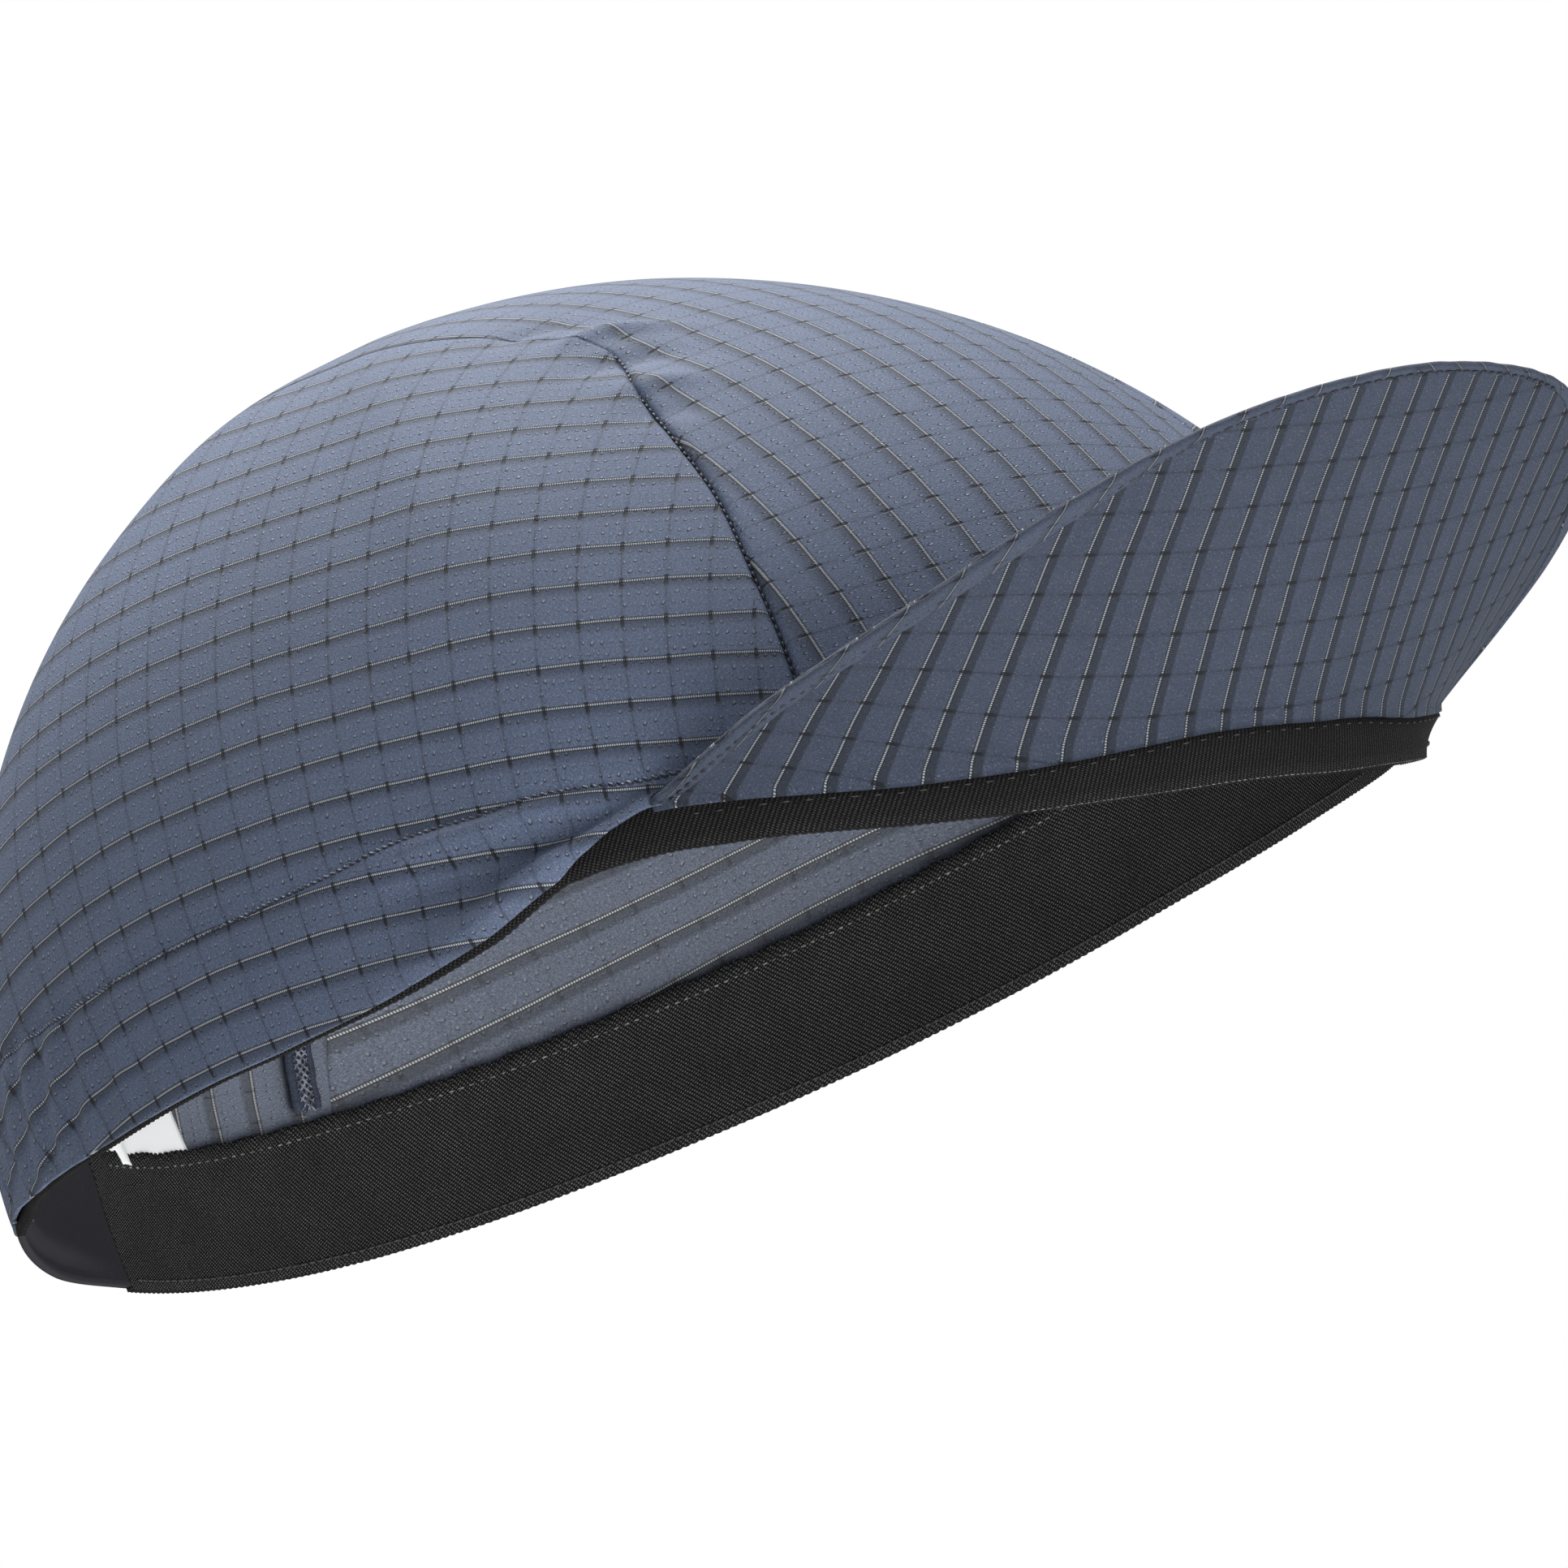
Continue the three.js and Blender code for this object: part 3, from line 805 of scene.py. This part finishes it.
# The visor's under cloth is the crown's cloth made darker: painted shade under the visor. The seam edges
# inside use it too.
VISOR_CLOTH = cloth_finish(
    "visor_cloth", (0.035, 0.046, 0.073), (0.36, 0.385, 0.41), (0.005, 0.006, 0.008),
    0.1, (0.58, 0.28, 0.75), (0.4, 0.9))
VISOR_TOP_CLOTH = cloth_finish(
    "visor_top_cloth", (0.052, 0.066, 0.100), (0.40, 0.42, 0.44), (0.008, 0.009, 0.013),
    0.3, (0.25, 0.3, 0.3), (0.15, 0.5))
STRIP = knit_finish("strip_knit", (0.0065, 0.0065, 0.0065), (0.15, 0.148, 0.145), 0.6, 0.9, 0.0001)
KNIT = knit_finish("elastic_knit", (0.0075, 0.0075, 0.007), (0.36, 0.355, 0.35), 0.75, 0.9, 0.00025)
SMOOTH = knit_finish("smooth_elastic", (0.024, 0.0225, 0.028), (0.06, 0.06, 0.07), 0.25, 0.75, 0.00006)
NAVY = thread_finish("navy_thread", (0.006, 0.008, 0.018), (0.022, 0.028, 0.05))
BLUE = thread_finish("blue_thread", (0.05, 0.06, 0.10), (0.34, 0.37, 0.44))
LOOPS = thread_finish("loop_thread", (0.05, 0.056, 0.075), (0.22, 0.24, 0.29), 1500.0)
PALE = thread_finish("pale_thread", (0.07, 0.068, 0.062), (0.24, 0.235, 0.215))
GREY = thread_finish("grey_thread", (0.012, 0.012, 0.012), (0.045, 0.044, 0.042))
SATIN = label_finish()


# Weave coordinates

# The side panels' weave is a flat cut laid on the dome. x runs forwards and y up from the
# middle of the lay, in mm, and the cells across and along the heavy threads follow from them.
LAY_AROUND, LAY_UP = 0.0, 30.0
LAY_ROUND = np.array([HALF_WIDTH, (FRONT_REACH + BACK_REACH) / 2, CROWN_TOP])
LAY_REACH = (95.0, 92.0)
LAY_PHASE = {RIGHT: 0.0, LEFT: 0.79}
# Behind here, in x, the lay's bow runs on straight, and here its lines are fully drawn upright
LAY_TAIL = {RIGHT: -45.0, LEFT: 0.0}
LAY_UPRIGHT = {RIGHT: 74.0, LEFT: 60.0}
# Below this y the near panel's lines spread no further, over a short easing
LAY_FLOOR, LAY_EASING = -16.0, 30.0


def lay_across(x, y, side):
    bowed = -2.59e-4 * x * x + 1.26e-4 * x * y - 3.49e-4 * y * y
    drawn = -1.1e-6 * x ** 3 - 6.0e-6 * x * x * y
    across = 2.714 + 0.0261 * x + 0.1874 * y + bowed + drawn
    # Behind, the far panel is drawn in by the elastic and its lines lie closer
    if side == LEFT:
        across = across + 0.19 * (across - LAY_PHASE[LEFT]) * smooth(-x, 20, 60)
    return across


def lay_along(x, y, side):
    ahead = np.maximum(x, LAY_TAIL[side])
    bowed = 2.49e-4 * (ahead * ahead + 2 * ahead * (x - ahead))
    held = (y + LAY_FLOOR + np.sqrt((y - LAY_FLOOR) ** 2 + LAY_EASING)) / 2
    upright = -0.09 * ((y if side == LEFT else held) - 8) * smooth(-x, 20, LAY_UPRIGHT[side])
    return -2.786 + 0.1639 * x + 0.0346 * y + bowed - 3.50e-4 * x * y - 1.1e-5 * y * y + upright


def panel_cells(d, side):
    d = unit(bare_dome(d) / LAY_ROUND) * np.array([-side, 1.0, 1.0])
    centre = direction(np.array(LAY_AROUND), np.array(LAY_UP))
    forward = unit(np.cross(np.array([0, 0, 1.0]), centre))
    raised = unit(np.cross(centre, forward))
    angle = np.arccos(np.clip(d @ centre, -1, 1))
    forward_part, raised_part = d @ forward, d @ raised
    easing = angle / (np.hypot(forward_part, raised_part) + 1e-9) * (1 - 0.05 * angle * angle)
    x = forward_part * easing * LAY_REACH[0]
    y = raised_part * easing * LAY_REACH[1]
    across = 100.5 - lay_across(x, y, side) + LAY_PHASE[side]
    return np.stack([across, 60.5 + lay_along(x, y, side)], -1)


STRIP_SPACING = (5.87, 4.3)
STRIP_LINE = (-4.85, 60.4)


def strip_cells(d):
    across = np.arcsin(np.clip(d[..., 0], -1, 1)) * HALF_WIDTH
    along = np.arctan2(d[..., 2], -d[..., 1]) * 92.0
    return np.stack([
        100.5 - (across - STRIP_LINE[0]) / STRIP_SPACING[0],
        60.5 + (along - STRIP_LINE[1]) / STRIP_SPACING[1],
    ], -1)


# Crown

def crown_piece(name, columns, rows, place, cells_at, node):
    piece = sheet_object(
        name, columns, rows, lambda u, v: crown_surface(place(u, v)),
        lambda u, v: cells_at(place(u, v)), CLOTH, CROWN_CLOTH, out_from_head, CROWN_INSIDE)
    settle(piece, "crown_cloth", node)


# Rows of faces lie closer near a side panel's hem, where its folds are
ROWS_TO_HEM = 1.2


def side_panel(word, side):
    place = panel_directions(side)
    crown_piece(
        f"side_panel_{word}", 250, 110, lambda u, v: place(u, v ** ROWS_TO_HEM),
        lambda d: panel_cells(d, side), f"crown_{word}_panel")


side_panel("right", RIGHT)
side_panel("left", LEFT)
crown_piece("center_panel", 80, 320, strip_directions(), strip_cells, "crown_center_strip")


# Visor

SPAN_POINTS, EDGE_POINTS = 40, 601


def visor_edge_line():
    """The visor's free edge as evenly spaced points, wearer's right to left."""
    half = [Vector((-s, -f, h)) for s, f, h in VISOR_EDGE]
    rows = half + [Vector((-p.x, p.y, p.z)) for p in reversed(half[:-1])]
    ends = [rows[0] * 2 - rows[1], *rows, rows[-1] * 2 - rows[-2]]
    line = []
    for i in range(1, len(ends) - 2):
        p0, p1, p2, p3 = (np.array(ends[k]) for k in range(i - 1, i + 3))
        t0 = 0.0
        t1 = t0 + np.linalg.norm(p1 - p0) ** 0.5
        t2 = t1 + np.linalg.norm(p2 - p1) ** 0.5
        t3 = t2 + np.linalg.norm(p3 - p2) ** 0.5
        for t in np.linspace(t1, t2, SPAN_POINTS, endpoint=False):
            a1 = (t1 - t) / (t1 - t0) * p0 + (t - t0) / (t1 - t0) * p1
            a2 = (t2 - t) / (t2 - t1) * p1 + (t - t1) / (t2 - t1) * p2
            a3 = (t3 - t) / (t3 - t2) * p2 + (t - t2) / (t3 - t2) * p3
            b1 = (t2 - t) / (t2 - t0) * a1 + (t - t0) / (t2 - t0) * a2
            b2 = (t3 - t) / (t3 - t1) * a2 + (t - t1) / (t3 - t1) * a3
            line.append((t2 - t) / (t2 - t1) * b1 + (t - t1) / (t2 - t1) * b2)
    line.append(np.array(rows[-1]))
    line = np.array(line)
    run = np.concatenate([[0], np.cumsum(np.linalg.norm(np.diff(line, axis=0), axis=1))])
    even = np.linspace(0, run[-1], EDGE_POINTS)
    return np.stack([np.interp(even, run, line[:, k]) for k in range(3)], -1)


VISOR_LINE = visor_edge_line()


def edge_direction(number, reach):
    """Which way the visor's free edge runs at a place on its line."""
    ahead = at_number(VISOR_LINE, np.minimum(number + reach, EDGE_POINTS - 1))
    return unit(ahead - at_number(VISOR_LINE, np.maximum(number - reach, 0)))


def visor_frame(s):
    """Base point, edge point and normal of the visor at s."""
    s = np.clip(s, 0, 1)
    around = mix(VISOR_FROM, VISOR_TO, s)
    base = cap_point(direction_above(around, hem_lift(around)), -GAP)
    number = s * (EDGE_POINTS - 1)
    edge = at_number(VISOR_LINE, number)
    normal = unit(np.cross(edge_direction(number, 1), edge - base))
    return base, edge, normal * np.where(normal[..., 2:] < 0, -1.0, 1.0)


def visor_point(s, t, height):
    """A point s along the visor, t out from its root and a height above its under face."""
    around = mix(VISOR_FROM, VISOR_TO, np.clip(s, 0, 1))
    _, edge, normal = visor_frame(s)
    low = cap_point(direction_above(around, hem_lift(around) + height), -GAP)
    high = edge + normal * np.asarray(height)[..., None]
    arch = VISOR_ARCH * np.sin(np.pi * np.clip(t, 0, 1)) * np.sin(np.pi * np.clip(s, 0, 1))
    return mix(low, high, t[..., None]) + normal * arch[..., None]


def visor_cells(point):
    """The visor's weave, bent as its cloth is by the turned-up edge. x and y are mm from its root."""
    x, y = point[..., 0], point[..., 1] + 90
    across = 11.21 + 0.1991 * x - 0.05023 * y + 7.086e-4 * x * x - 1.046e-3 * x * y + 2.195e-4 * y * y
    across += 1.654e-5 * x ** 3 - 1.183e-5 * x * x * y - 3.22e-6 * x * y * y - 1.6e-7 * y ** 3
    along = 6.768 - 0.01177 * x + 0.2005 * y - 3.589e-4 * x * x - 3.876e-4 * x * y + 5.841e-4 * y * y
    along += 5.371e-6 * x ** 3 - 1.677e-5 * x * x * y + 9.8e-7 * x * y * y + 2.558e-6 * y ** 3
    return np.stack([across + 40.5, along + 40.5], -1)


TRIM = [
    (0, 0.5), (0.2, 0.8), (0.38, 0.8), (0.45, 0.45), (0.52, 0.2), (0.85, 0.1), (0.95, 0.5), (1, 0.6),
]


def trim(s):
    """How much the sewn edge is drawn in from the cut line."""
    return read_table(TRIM, s)


def short_of_edge(s, gap):
    """The part of the visor's depth that ends a gap short of its sewn edge."""
    base, edge, _ = visor_frame(s)
    return 1 - (gap + trim(s)) / np.linalg.norm(edge - base, axis=-1)


def under_face(s, t, lap=0.6):
    """The under cloth, which laps over the strip at its root."""
    return visor_point(s, t * short_of_edge(s, 0.3), 0.05 - lap * bell(t, 0.03))


settle(sheet_object(
    "visor_under_cloth", 220, 60, under_face, lambda s, t: visor_cells(under_face(s, t, 0.0)),
    CLOTH, VISOR_CLOTH, lambda p: Vector((0, 0, -1))), "visor_cloth", "visor_under")

ROLL_FROM = 0.8
ROLL_RADIUS = 0.45
ROLL_MIDDLE = 0.22
VISOR_TOP = 0.85
TUCK = [(0, 1.4), (0.2, 1.7), (0.29, 2.0), (0.34, 1.2), (0.39, 0.5), (0.5, 0.35)]


def tuck_width(s):
    """How far the rolled cloth shows under the visor, less towards the front."""
    return read_table(TUCK, np.minimum(s, 1 - s))


def upper_face(s, t):
    """The upper cloth runs to the free edge, rolls over it and ends under the visor."""
    flat = np.clip(t / ROLL_FROM, 0, 1)
    rolled = np.clip((t - ROLL_FROM) / (1 - ROLL_FROM), 0, 1)
    base, edge, normal = visor_frame(s)
    top = visor_point(s, flat * short_of_edge(s, 0.4), VISOR_TOP + 0 * s)
    tangent = edge_direction(np.clip(s, 0, 1) * (EDGE_POINTS - 1), 2)
    away = unit(np.cross(normal, tangent))
    away = away * np.sign(np.sum(away * (edge - base), -1, keepdims=True))
    turn = np.clip(rolled / 0.6, 0, 1) * np.pi
    wobble = 0.04 * np.sin(s * 310.0) + 0.04 * np.sin(s * 173.0 + 1.0)
    tuck = np.clip((rolled - 0.6) / 0.4, 0, 1)
    middle_up = ROLL_MIDDLE + 0.3 * smooth(s, 0.58, 0.68)
    middle_in = ROLL_RADIUS * 0.9 + trim(s)
    reach = (ROLL_RADIUS + wobble) * np.sin(turn) - middle_in - tuck * (tuck_width(s) + wobble)
    rise = middle_up + ROLL_RADIUS * np.cos(turn) * 1.12 + tuck * tuck * 0.1
    curl = edge + away * reach[..., None] + normal * rise[..., None]
    return np.where((rolled > 0)[..., None], curl, top)


def upper_cells(s, t):
    point = upper_face(s, t)
    cells = visor_cells(point) * np.array([-1.0, 1.0])
    rolled = np.clip((t - ROLL_FROM) / (1 - ROLL_FROM), 0, 1)
    cells[..., 1] += rolled * 1.2
    cells[..., 0] += rolled * 0.5 * np.sign(s - 0.5)
    return cells


settle(sheet_object(
    "visor_upper_cloth", 300, 90, upper_face, upper_cells,
    ROLLED_CLOTH, VISOR_TOP_CLOTH, lambda p: Vector((0, 0, 1))), "crown_cloth", "visor_upper")


# Sweatband

BAND_CORNER = 136.5


def around_side(around):
    """Above 0 on the wearer's right, below it on the left."""
    return np.cos(np.radians(around))


def band_inset(around, height):
    """Behind the crown, and flush with it in the strip below the visor and by the smooth patch."""
    from_front = apart(around, 90)
    over = 10.0 * (around_side(around) < 0)
    strip = 1 - smooth(from_front, 36 + over, 44 + over)
    patch = (smooth(from_front, 128, 134) - smooth(from_front, 150, 162)) * (around_side(around) > 0)
    below_hem = 1 - smooth(height, hem_lift(around) - 0.4, hem_lift(around) + 1.2)
    # Where the strip ends on the left, its bottom edge is turned in
    corner = apart(around, BAND_CORNER)
    turned_in = 4.8 * (1 - smooth(height, -1.0, 5.2)) - 1.2 * smooth(height, 1.5, 4.5) * below_hem
    rounded = 2.1 * bell(corner, 9.0) * (1 - smooth(height, -0.4, 2.0))
    flush = 1.25 * np.maximum(strip, patch) * below_hem
    return BAND_OUTSIDE - flush + bell(corner, 12.0) * turned_in + rounded


def band_width(around):
    """The band is drawn in a little at the back, behind the label."""
    return BAND_WIDTH - 1.2 * bell(apart(around, 280), 16)


def patch_edge(v):
    """Where the smooth stretch of the band begins: its sewn end runs at a slant."""
    return PATCH_FROM + 1.2 + 2.0 * v


LOOP_PITCH = 1.05


def band_face(start, end, picot):
    """The band's outer face. picot is how far the knit's edge loops stand out."""
    def face(u, v):
        around = mix(start(v), end(v), u)
        arc = around * MM_PER_DEGREE
        loops = picot * np.abs(np.sin(arc * math.pi / LOOP_PITCH))
        height = v * band_width(around)
        height = height + loops * (smooth(v, 0.9, 1.0) - 0.45 * (1 - smooth(v, 0.0, 0.06)))
        height = height + 0.25 * picot * np.sin(arc * 0.9) * smooth(v, 0.8, 1.0)
        tucked_up = 0.27 * (1 - smooth(hem_lift(around), 0.12, 0.7))
        height = height + np.maximum(0.35 * (picot == 0), tucked_up) * (1 - v)
        d = direction_above(around, height)
        slack = 0.12 * np.sin(arc * 1.1 + 0.4 * height) * smooth(v, 0.5, 1.0)
        return cap_point(d, band_inset(around, height) - np.minimum(fold_height(d), 0) + slack)
    return face


def band_cells(start, end):
    return lambda u, v: np.stack([
        mix(start, end, u) * MM_PER_DEGREE / GRID + 200, v * BAND_WIDTH / GRID,
    ], -1)


settle(sheet_object(
    "sweatband_knit", 1500, 15,
    band_face(lambda v: PATCH_TO - 360, lambda v: patch_edge(v) - 0.16, 0.4),
    band_cells(PATCH_TO - 360, PATCH_FROM), BAND_THICK, STRIP, out_from_head, KNIT),
    "elastic_knit", "sweatband")
settle(sheet_object(
    "sweatband_smooth_patch", 120, 24, band_face(patch_edge, lambda v: PATCH_TO - 0.16, 0.0),
    band_cells(PATCH_FROM, PATCH_TO), BAND_THICK, SMOOTH, out_from_head),
    "smooth_elastic", "sweatband_back_patch")


# Inside edges and label

def tape_lean(side, roll):
    """The overlocked edge lies over to one side low at the back."""
    return (-3.6 * smooth(roll, 105, 150) + 1.6 * smooth(roll, 156, 175)) * (side == LEFT)


EDGE_HALF_WIDTH = 2.0
EDGE_THICK = 0.6
LABEL_THICK = 0.3


def seam_edge_face(side):
    """The sewn cloth edges inside a side seam, which end a little above the band."""
    above_band = lambda around: BAND_WIDTH + 1.2
    start = seam_end(side, False, 0, above_band)
    finish = seam_end(side, True, 0, above_band)
    half = math.degrees(EDGE_HALF_WIDTH / HALF_WIDTH)

    def face(u, v):
        roll = mix(start, finish, v)
        waver = 0.12 * np.sin(v * 330.0)
        beside = mix(-half, half, u) * (0.95 + waver * 0.3) + tape_lean(side, roll)
        rounded = 0.35 * (1 - np.sin(np.pi * u))
        return cap_point(seam_direction(side, roll, beside), BAND_OUTSIDE + 1.05 - rounded + waver * 0.3)
    return face, start, finish


for side, word in ((RIGHT, "right"), (LEFT, "left")):
    face, start, finish = seam_edge_face(side)
    settle(sheet_object(
        f"seam_edge_{word}", 8, 300, face,
        lambda u, v: np.stack([u * 4 / GRID, v * 240 / GRID], -1),
        EDGE_THICK, VISOR_CLOTH, in_to_head), "seam_thread", f"seam_allowance_{word}")
    line = np.linspace(start, finish, 700)
    d = seam_direction(side, line, tape_lean(side, line))
    inner, outward = cap_point(d, BAND_OUTSIDE + 1.15), -dome_normal(d)
    settle(stitch_row(f"overlock_{word}", inner, outward, 0.5, 3.1, 0.36, LOOPS, turn=40), "seam_thread")
    # Stitches in the seam, seen outside
    run = np.linspace(seam_end(side, False, 0, hem_lift) + 0.5, 50.0, 500)
    d = seam_direction(side, run)
    settle(stitch_row(
        f"seam_stitches_{word}", cap_point(d, 0.55), dome_normal(d), 1.1, 0.8, 0.34, NAVY), "seam_thread")


def label_face(u, v):
    """The label stands up from behind the band's top edge, with one crease."""
    around = mix(LABEL_FROM + 1.2 + 3.2 * v, LABEL_TO + 4.2 - 1.6 * v, u)
    height = band_width(around) + GAP - 1.5 + v * (LABEL_HEIGHT + 1.0) * (1 - 0.16 * u)
    crease = -0.8 * bell(u - 0.58 - 0.25 * v, 0.05) * (1 - v)
    lean = 0.25 + 0.45 * np.sin(np.pi * v) * (0.4 + 0.6 * u) - crease
    return cap_point(direction_above(around, height), BAND_OUTSIDE + 0.3 + lean)


settle(sheet_object(
    "back_label", 30, 24, label_face, lambda u, v: np.stack([u * 5, v * 3], -1),
    LABEL_THICK, SATIN, in_to_head), "label_cloth", "care_label")


# Stitching

def crown_line(around, height, lift=0.0):
    d = direction_above(around, height)
    normal = dome_normal(d)
    return bare_dome(d) + normal * (crown_lift(d) + lift)[..., None], normal


def zigzag(word, first, last):
    """The stitch that holds the band: pale loops lying in a row of dark navy ones, which are partly the
    stitch's dark thread and partly painted shade in the groove under it.
    """
    ring = np.linspace(first, last, 1400)
    # the navy under row is dark thread and painted shade in the stitch's groove
    for name, lower, lift, length, width, finish in (
            ("under", 0.16, -0.05, 1.15, 0.62, NAVY), ("over", 0.0, 0.1, 0.86, 0.26, BLUE)):
        points, normals = crown_line(ring, stitch_height(ring) - lower, lift)
        row = stitch_row(
            f"band_zigzag_{name}_{word}", points, normals, 0.95, length, width, finish, turn=-26, lean=True)
        settle(row, "seam_thread")


zigzag("right", -43.0, 45.0)
zigzag("left", 135.0, 223.0)
zigzag("back", 223.0, 317.0)
zigzag("front", 45.0, 135.0)


def visor_stitches(name, s, gap, height, up, length, width):
    """A row of stitches along the visor, a gap in from its sewn edge."""
    points = visor_point(s, short_of_edge(s, gap), height + 0 * s)
    settle(stitch_row(name, points, up * visor_frame(s)[2], 1.4, length, width, NAVY), "seam_thread")


# Under the visor they show from its near end to past its middle, where the roll hides them
along_visor = np.linspace(0.012, 0.62, 900)
visor_stitches("visor_edge_stitches", along_visor, 0.4 + tuck_width(along_visor), -0.42, -1, 1.0, 0.46)
visor_stitches(
    "visor_top_stitches", np.linspace(0.012, 0.988, 1200), 3.2, VISOR_TOP + 0.03, 1, 0.95, 0.3)

front_ring = np.linspace(VISOR_FROM + 2, VISOR_TO - 2, 1200)
height = hem_lift(front_ring) - 0.95
d = direction_above(front_ring, height)
settle(stitch_row(
    "visor_base_stitches", cap_point(d, band_inset(front_ring, height) - 0.02), dome_normal(d),
    2.4, 0.9, 0.24, GREY), "elastic_knit")

inside_ring = np.linspace(PATCH_TO - 360, PATCH_FROM, 4000)
d = direction_above(inside_ring, band_width(inside_ring) - 1.5)
settle(stitch_row(
    "band_top_stitches", cap_point(d, BAND_INSIDE), -dome_normal(d), 1.35, 0.7, 0.3, PALE),
    "elastic_knit")
d = direction_above(inside_ring, 1.15 + 0 * inside_ring)
settle(stitch_row(
    "band_bottom_stitches", cap_point(d, BAND_INSIDE), -dome_normal(d), 1.15, 1.0, 0.45, GREY),
    "elastic_knit")
front_edge = np.linspace(70, 133, 900)
d = direction_above(front_edge, -0.12 + 0 * front_edge)
settle(stitch_row(
    "band_edge_thread", cap_point(d, band_inset(front_edge, -0.12) + 0.12), dome_normal(d),
    0.9, 0.8, 0.14, PALE), "elastic_knit")


# Stage, light and camera

def floor_finish():
    finish, w, shader = finish_of("pale_floor")
    place = w.put("ShaderNodeTexCoord").outputs["Object"]
    shade = w.blend(w.noise(place, 3.0), (0.84, 0.84, 0.84, 1), (0.88, 0.88, 0.88, 1))
    w.feed(shader.inputs["Base Color"], shade)
    shader.inputs["Roughness"].default_value = 0.8
    return finish


FLOOR_LEVEL, FLOOR_REACH = -0.62, 6
bm = bmesh.new()
floor_place = Matrix.Translation((0, 0, FLOOR_LEVEL))
bmesh.ops.create_grid(bm, x_segments=1, y_segments=1, size=FLOOR_REACH, matrix=floor_place)
floor_mesh = bpy.data.meshes.new("floor")
bm.to_mesh(floor_mesh)
bm.free()
floor_mesh.materials.append(floor_finish())
floor = bpy.data.objects.new("floor", floor_mesh)
bpy.context.scene.collection.objects.link(floor)

bpy.context.scene.view_settings.view_transform = "Standard"

world = bpy.data.worlds.new("studio")
bpy.context.scene.world = world
world.use_nodes = True
world.node_tree.nodes.clear()
w = Wiring(world.node_tree)
seen = w.put("ShaderNodeBackground")
seen.inputs["Color"].default_value = (1, 1, 1, 1)
seen.inputs["Strength"].default_value = 1.0
glow = w.put("ShaderNodeBackground")
glow.inputs["Color"].default_value = (0.96, 0.98, 1.0, 1)
glow.inputs["Strength"].default_value = 0.46
choose = w.put("ShaderNodeMixShader")
w.feed(choose.inputs[0], w.put("ShaderNodeLightPath").outputs["Is Camera Ray"])
w.feed(choose.inputs[1], glow.outputs[0])
w.feed(choose.inputs[2], seen.outputs[0])
w.feed(w.put("ShaderNodeOutputWorld").inputs["Surface"], choose.outputs[0])


def soft_light(name, place, target, size, power):
    data = bpy.data.lights.new(name, "AREA")
    data.size = size
    data.energy = power
    light = bpy.data.objects.new(name, data)
    light.location = place
    light.rotation_mode = "QUATERNION"
    light.rotation_quaternion = (Vector(target) - Vector(place)).to_track_quat("-Z", "Y")
    bpy.context.scene.collection.objects.link(light)


soft_light("top_light", (0.3, 0.16, 1.22), (0, 0, 0.05), 0.8, 33.0)
soft_light("low_light", (-0.2, -0.62, -0.42), (0, 0.03, 0.02), 0.5, 4.2)

# The camera stands 1.2 m off, below the rim, turned and rolled as the photograph is
CAMERA_TURN, CAMERA_RISE, CAMERA_ROLL = -40.67, -13.06, 19.58
CAMERA_DISTANCE = 1.2
FOCAL_PIXELS, PHOTO_WIDTH = 13092.0, 1932.0
ORIGIN_SEEN = (942.84, 1267.97)

a, e, r = (math.radians(x) for x in (CAMERA_TURN, CAMERA_RISE, CAMERA_ROLL))
back = Vector((math.sin(a) * math.cos(e), -math.cos(a) * math.cos(e), math.sin(e)))
level_right = Vector((math.cos(a), math.sin(a), 0))
level_up = back.cross(level_right)
right = level_right * math.cos(r) - level_up * math.sin(r)
up = level_right * math.sin(r) + level_up * math.cos(r)
middle = PHOTO_WIDTH / 2
offset_right, offset_up = (middle - ORIGIN_SEEN[0]) / FOCAL_PIXELS, (ORIGIN_SEEN[1] - middle) / FOCAL_PIXELS
gaze = right * offset_right + up * offset_up - back
turned_back = -gaze.normalized()
turned_right = (right - turned_back * right.dot(turned_back)).normalized()
turned_up = turned_back.cross(turned_right)

camera_data = bpy.data.cameras.new("camera")
camera_data.lens = FOCAL_PIXELS / PHOTO_WIDTH * 36
camera_data.sensor_width = 36
camera_data.clip_start, camera_data.clip_end = 0.05, 50
camera = bpy.data.objects.new("camera", camera_data)
camera.matrix_world = Matrix((
    (turned_right.x, turned_up.x, turned_back.x, back.x * CAMERA_DISTANCE),
    (turned_right.y, turned_up.y, turned_back.y, back.y * CAMERA_DISTANCE),
    (turned_right.z, turned_up.z, turned_back.z, back.z * CAMERA_DISTANCE),
    (0, 0, 0, 1),
))
bpy.context.scene.collection.objects.link(camera)
bpy.context.scene.camera = camera
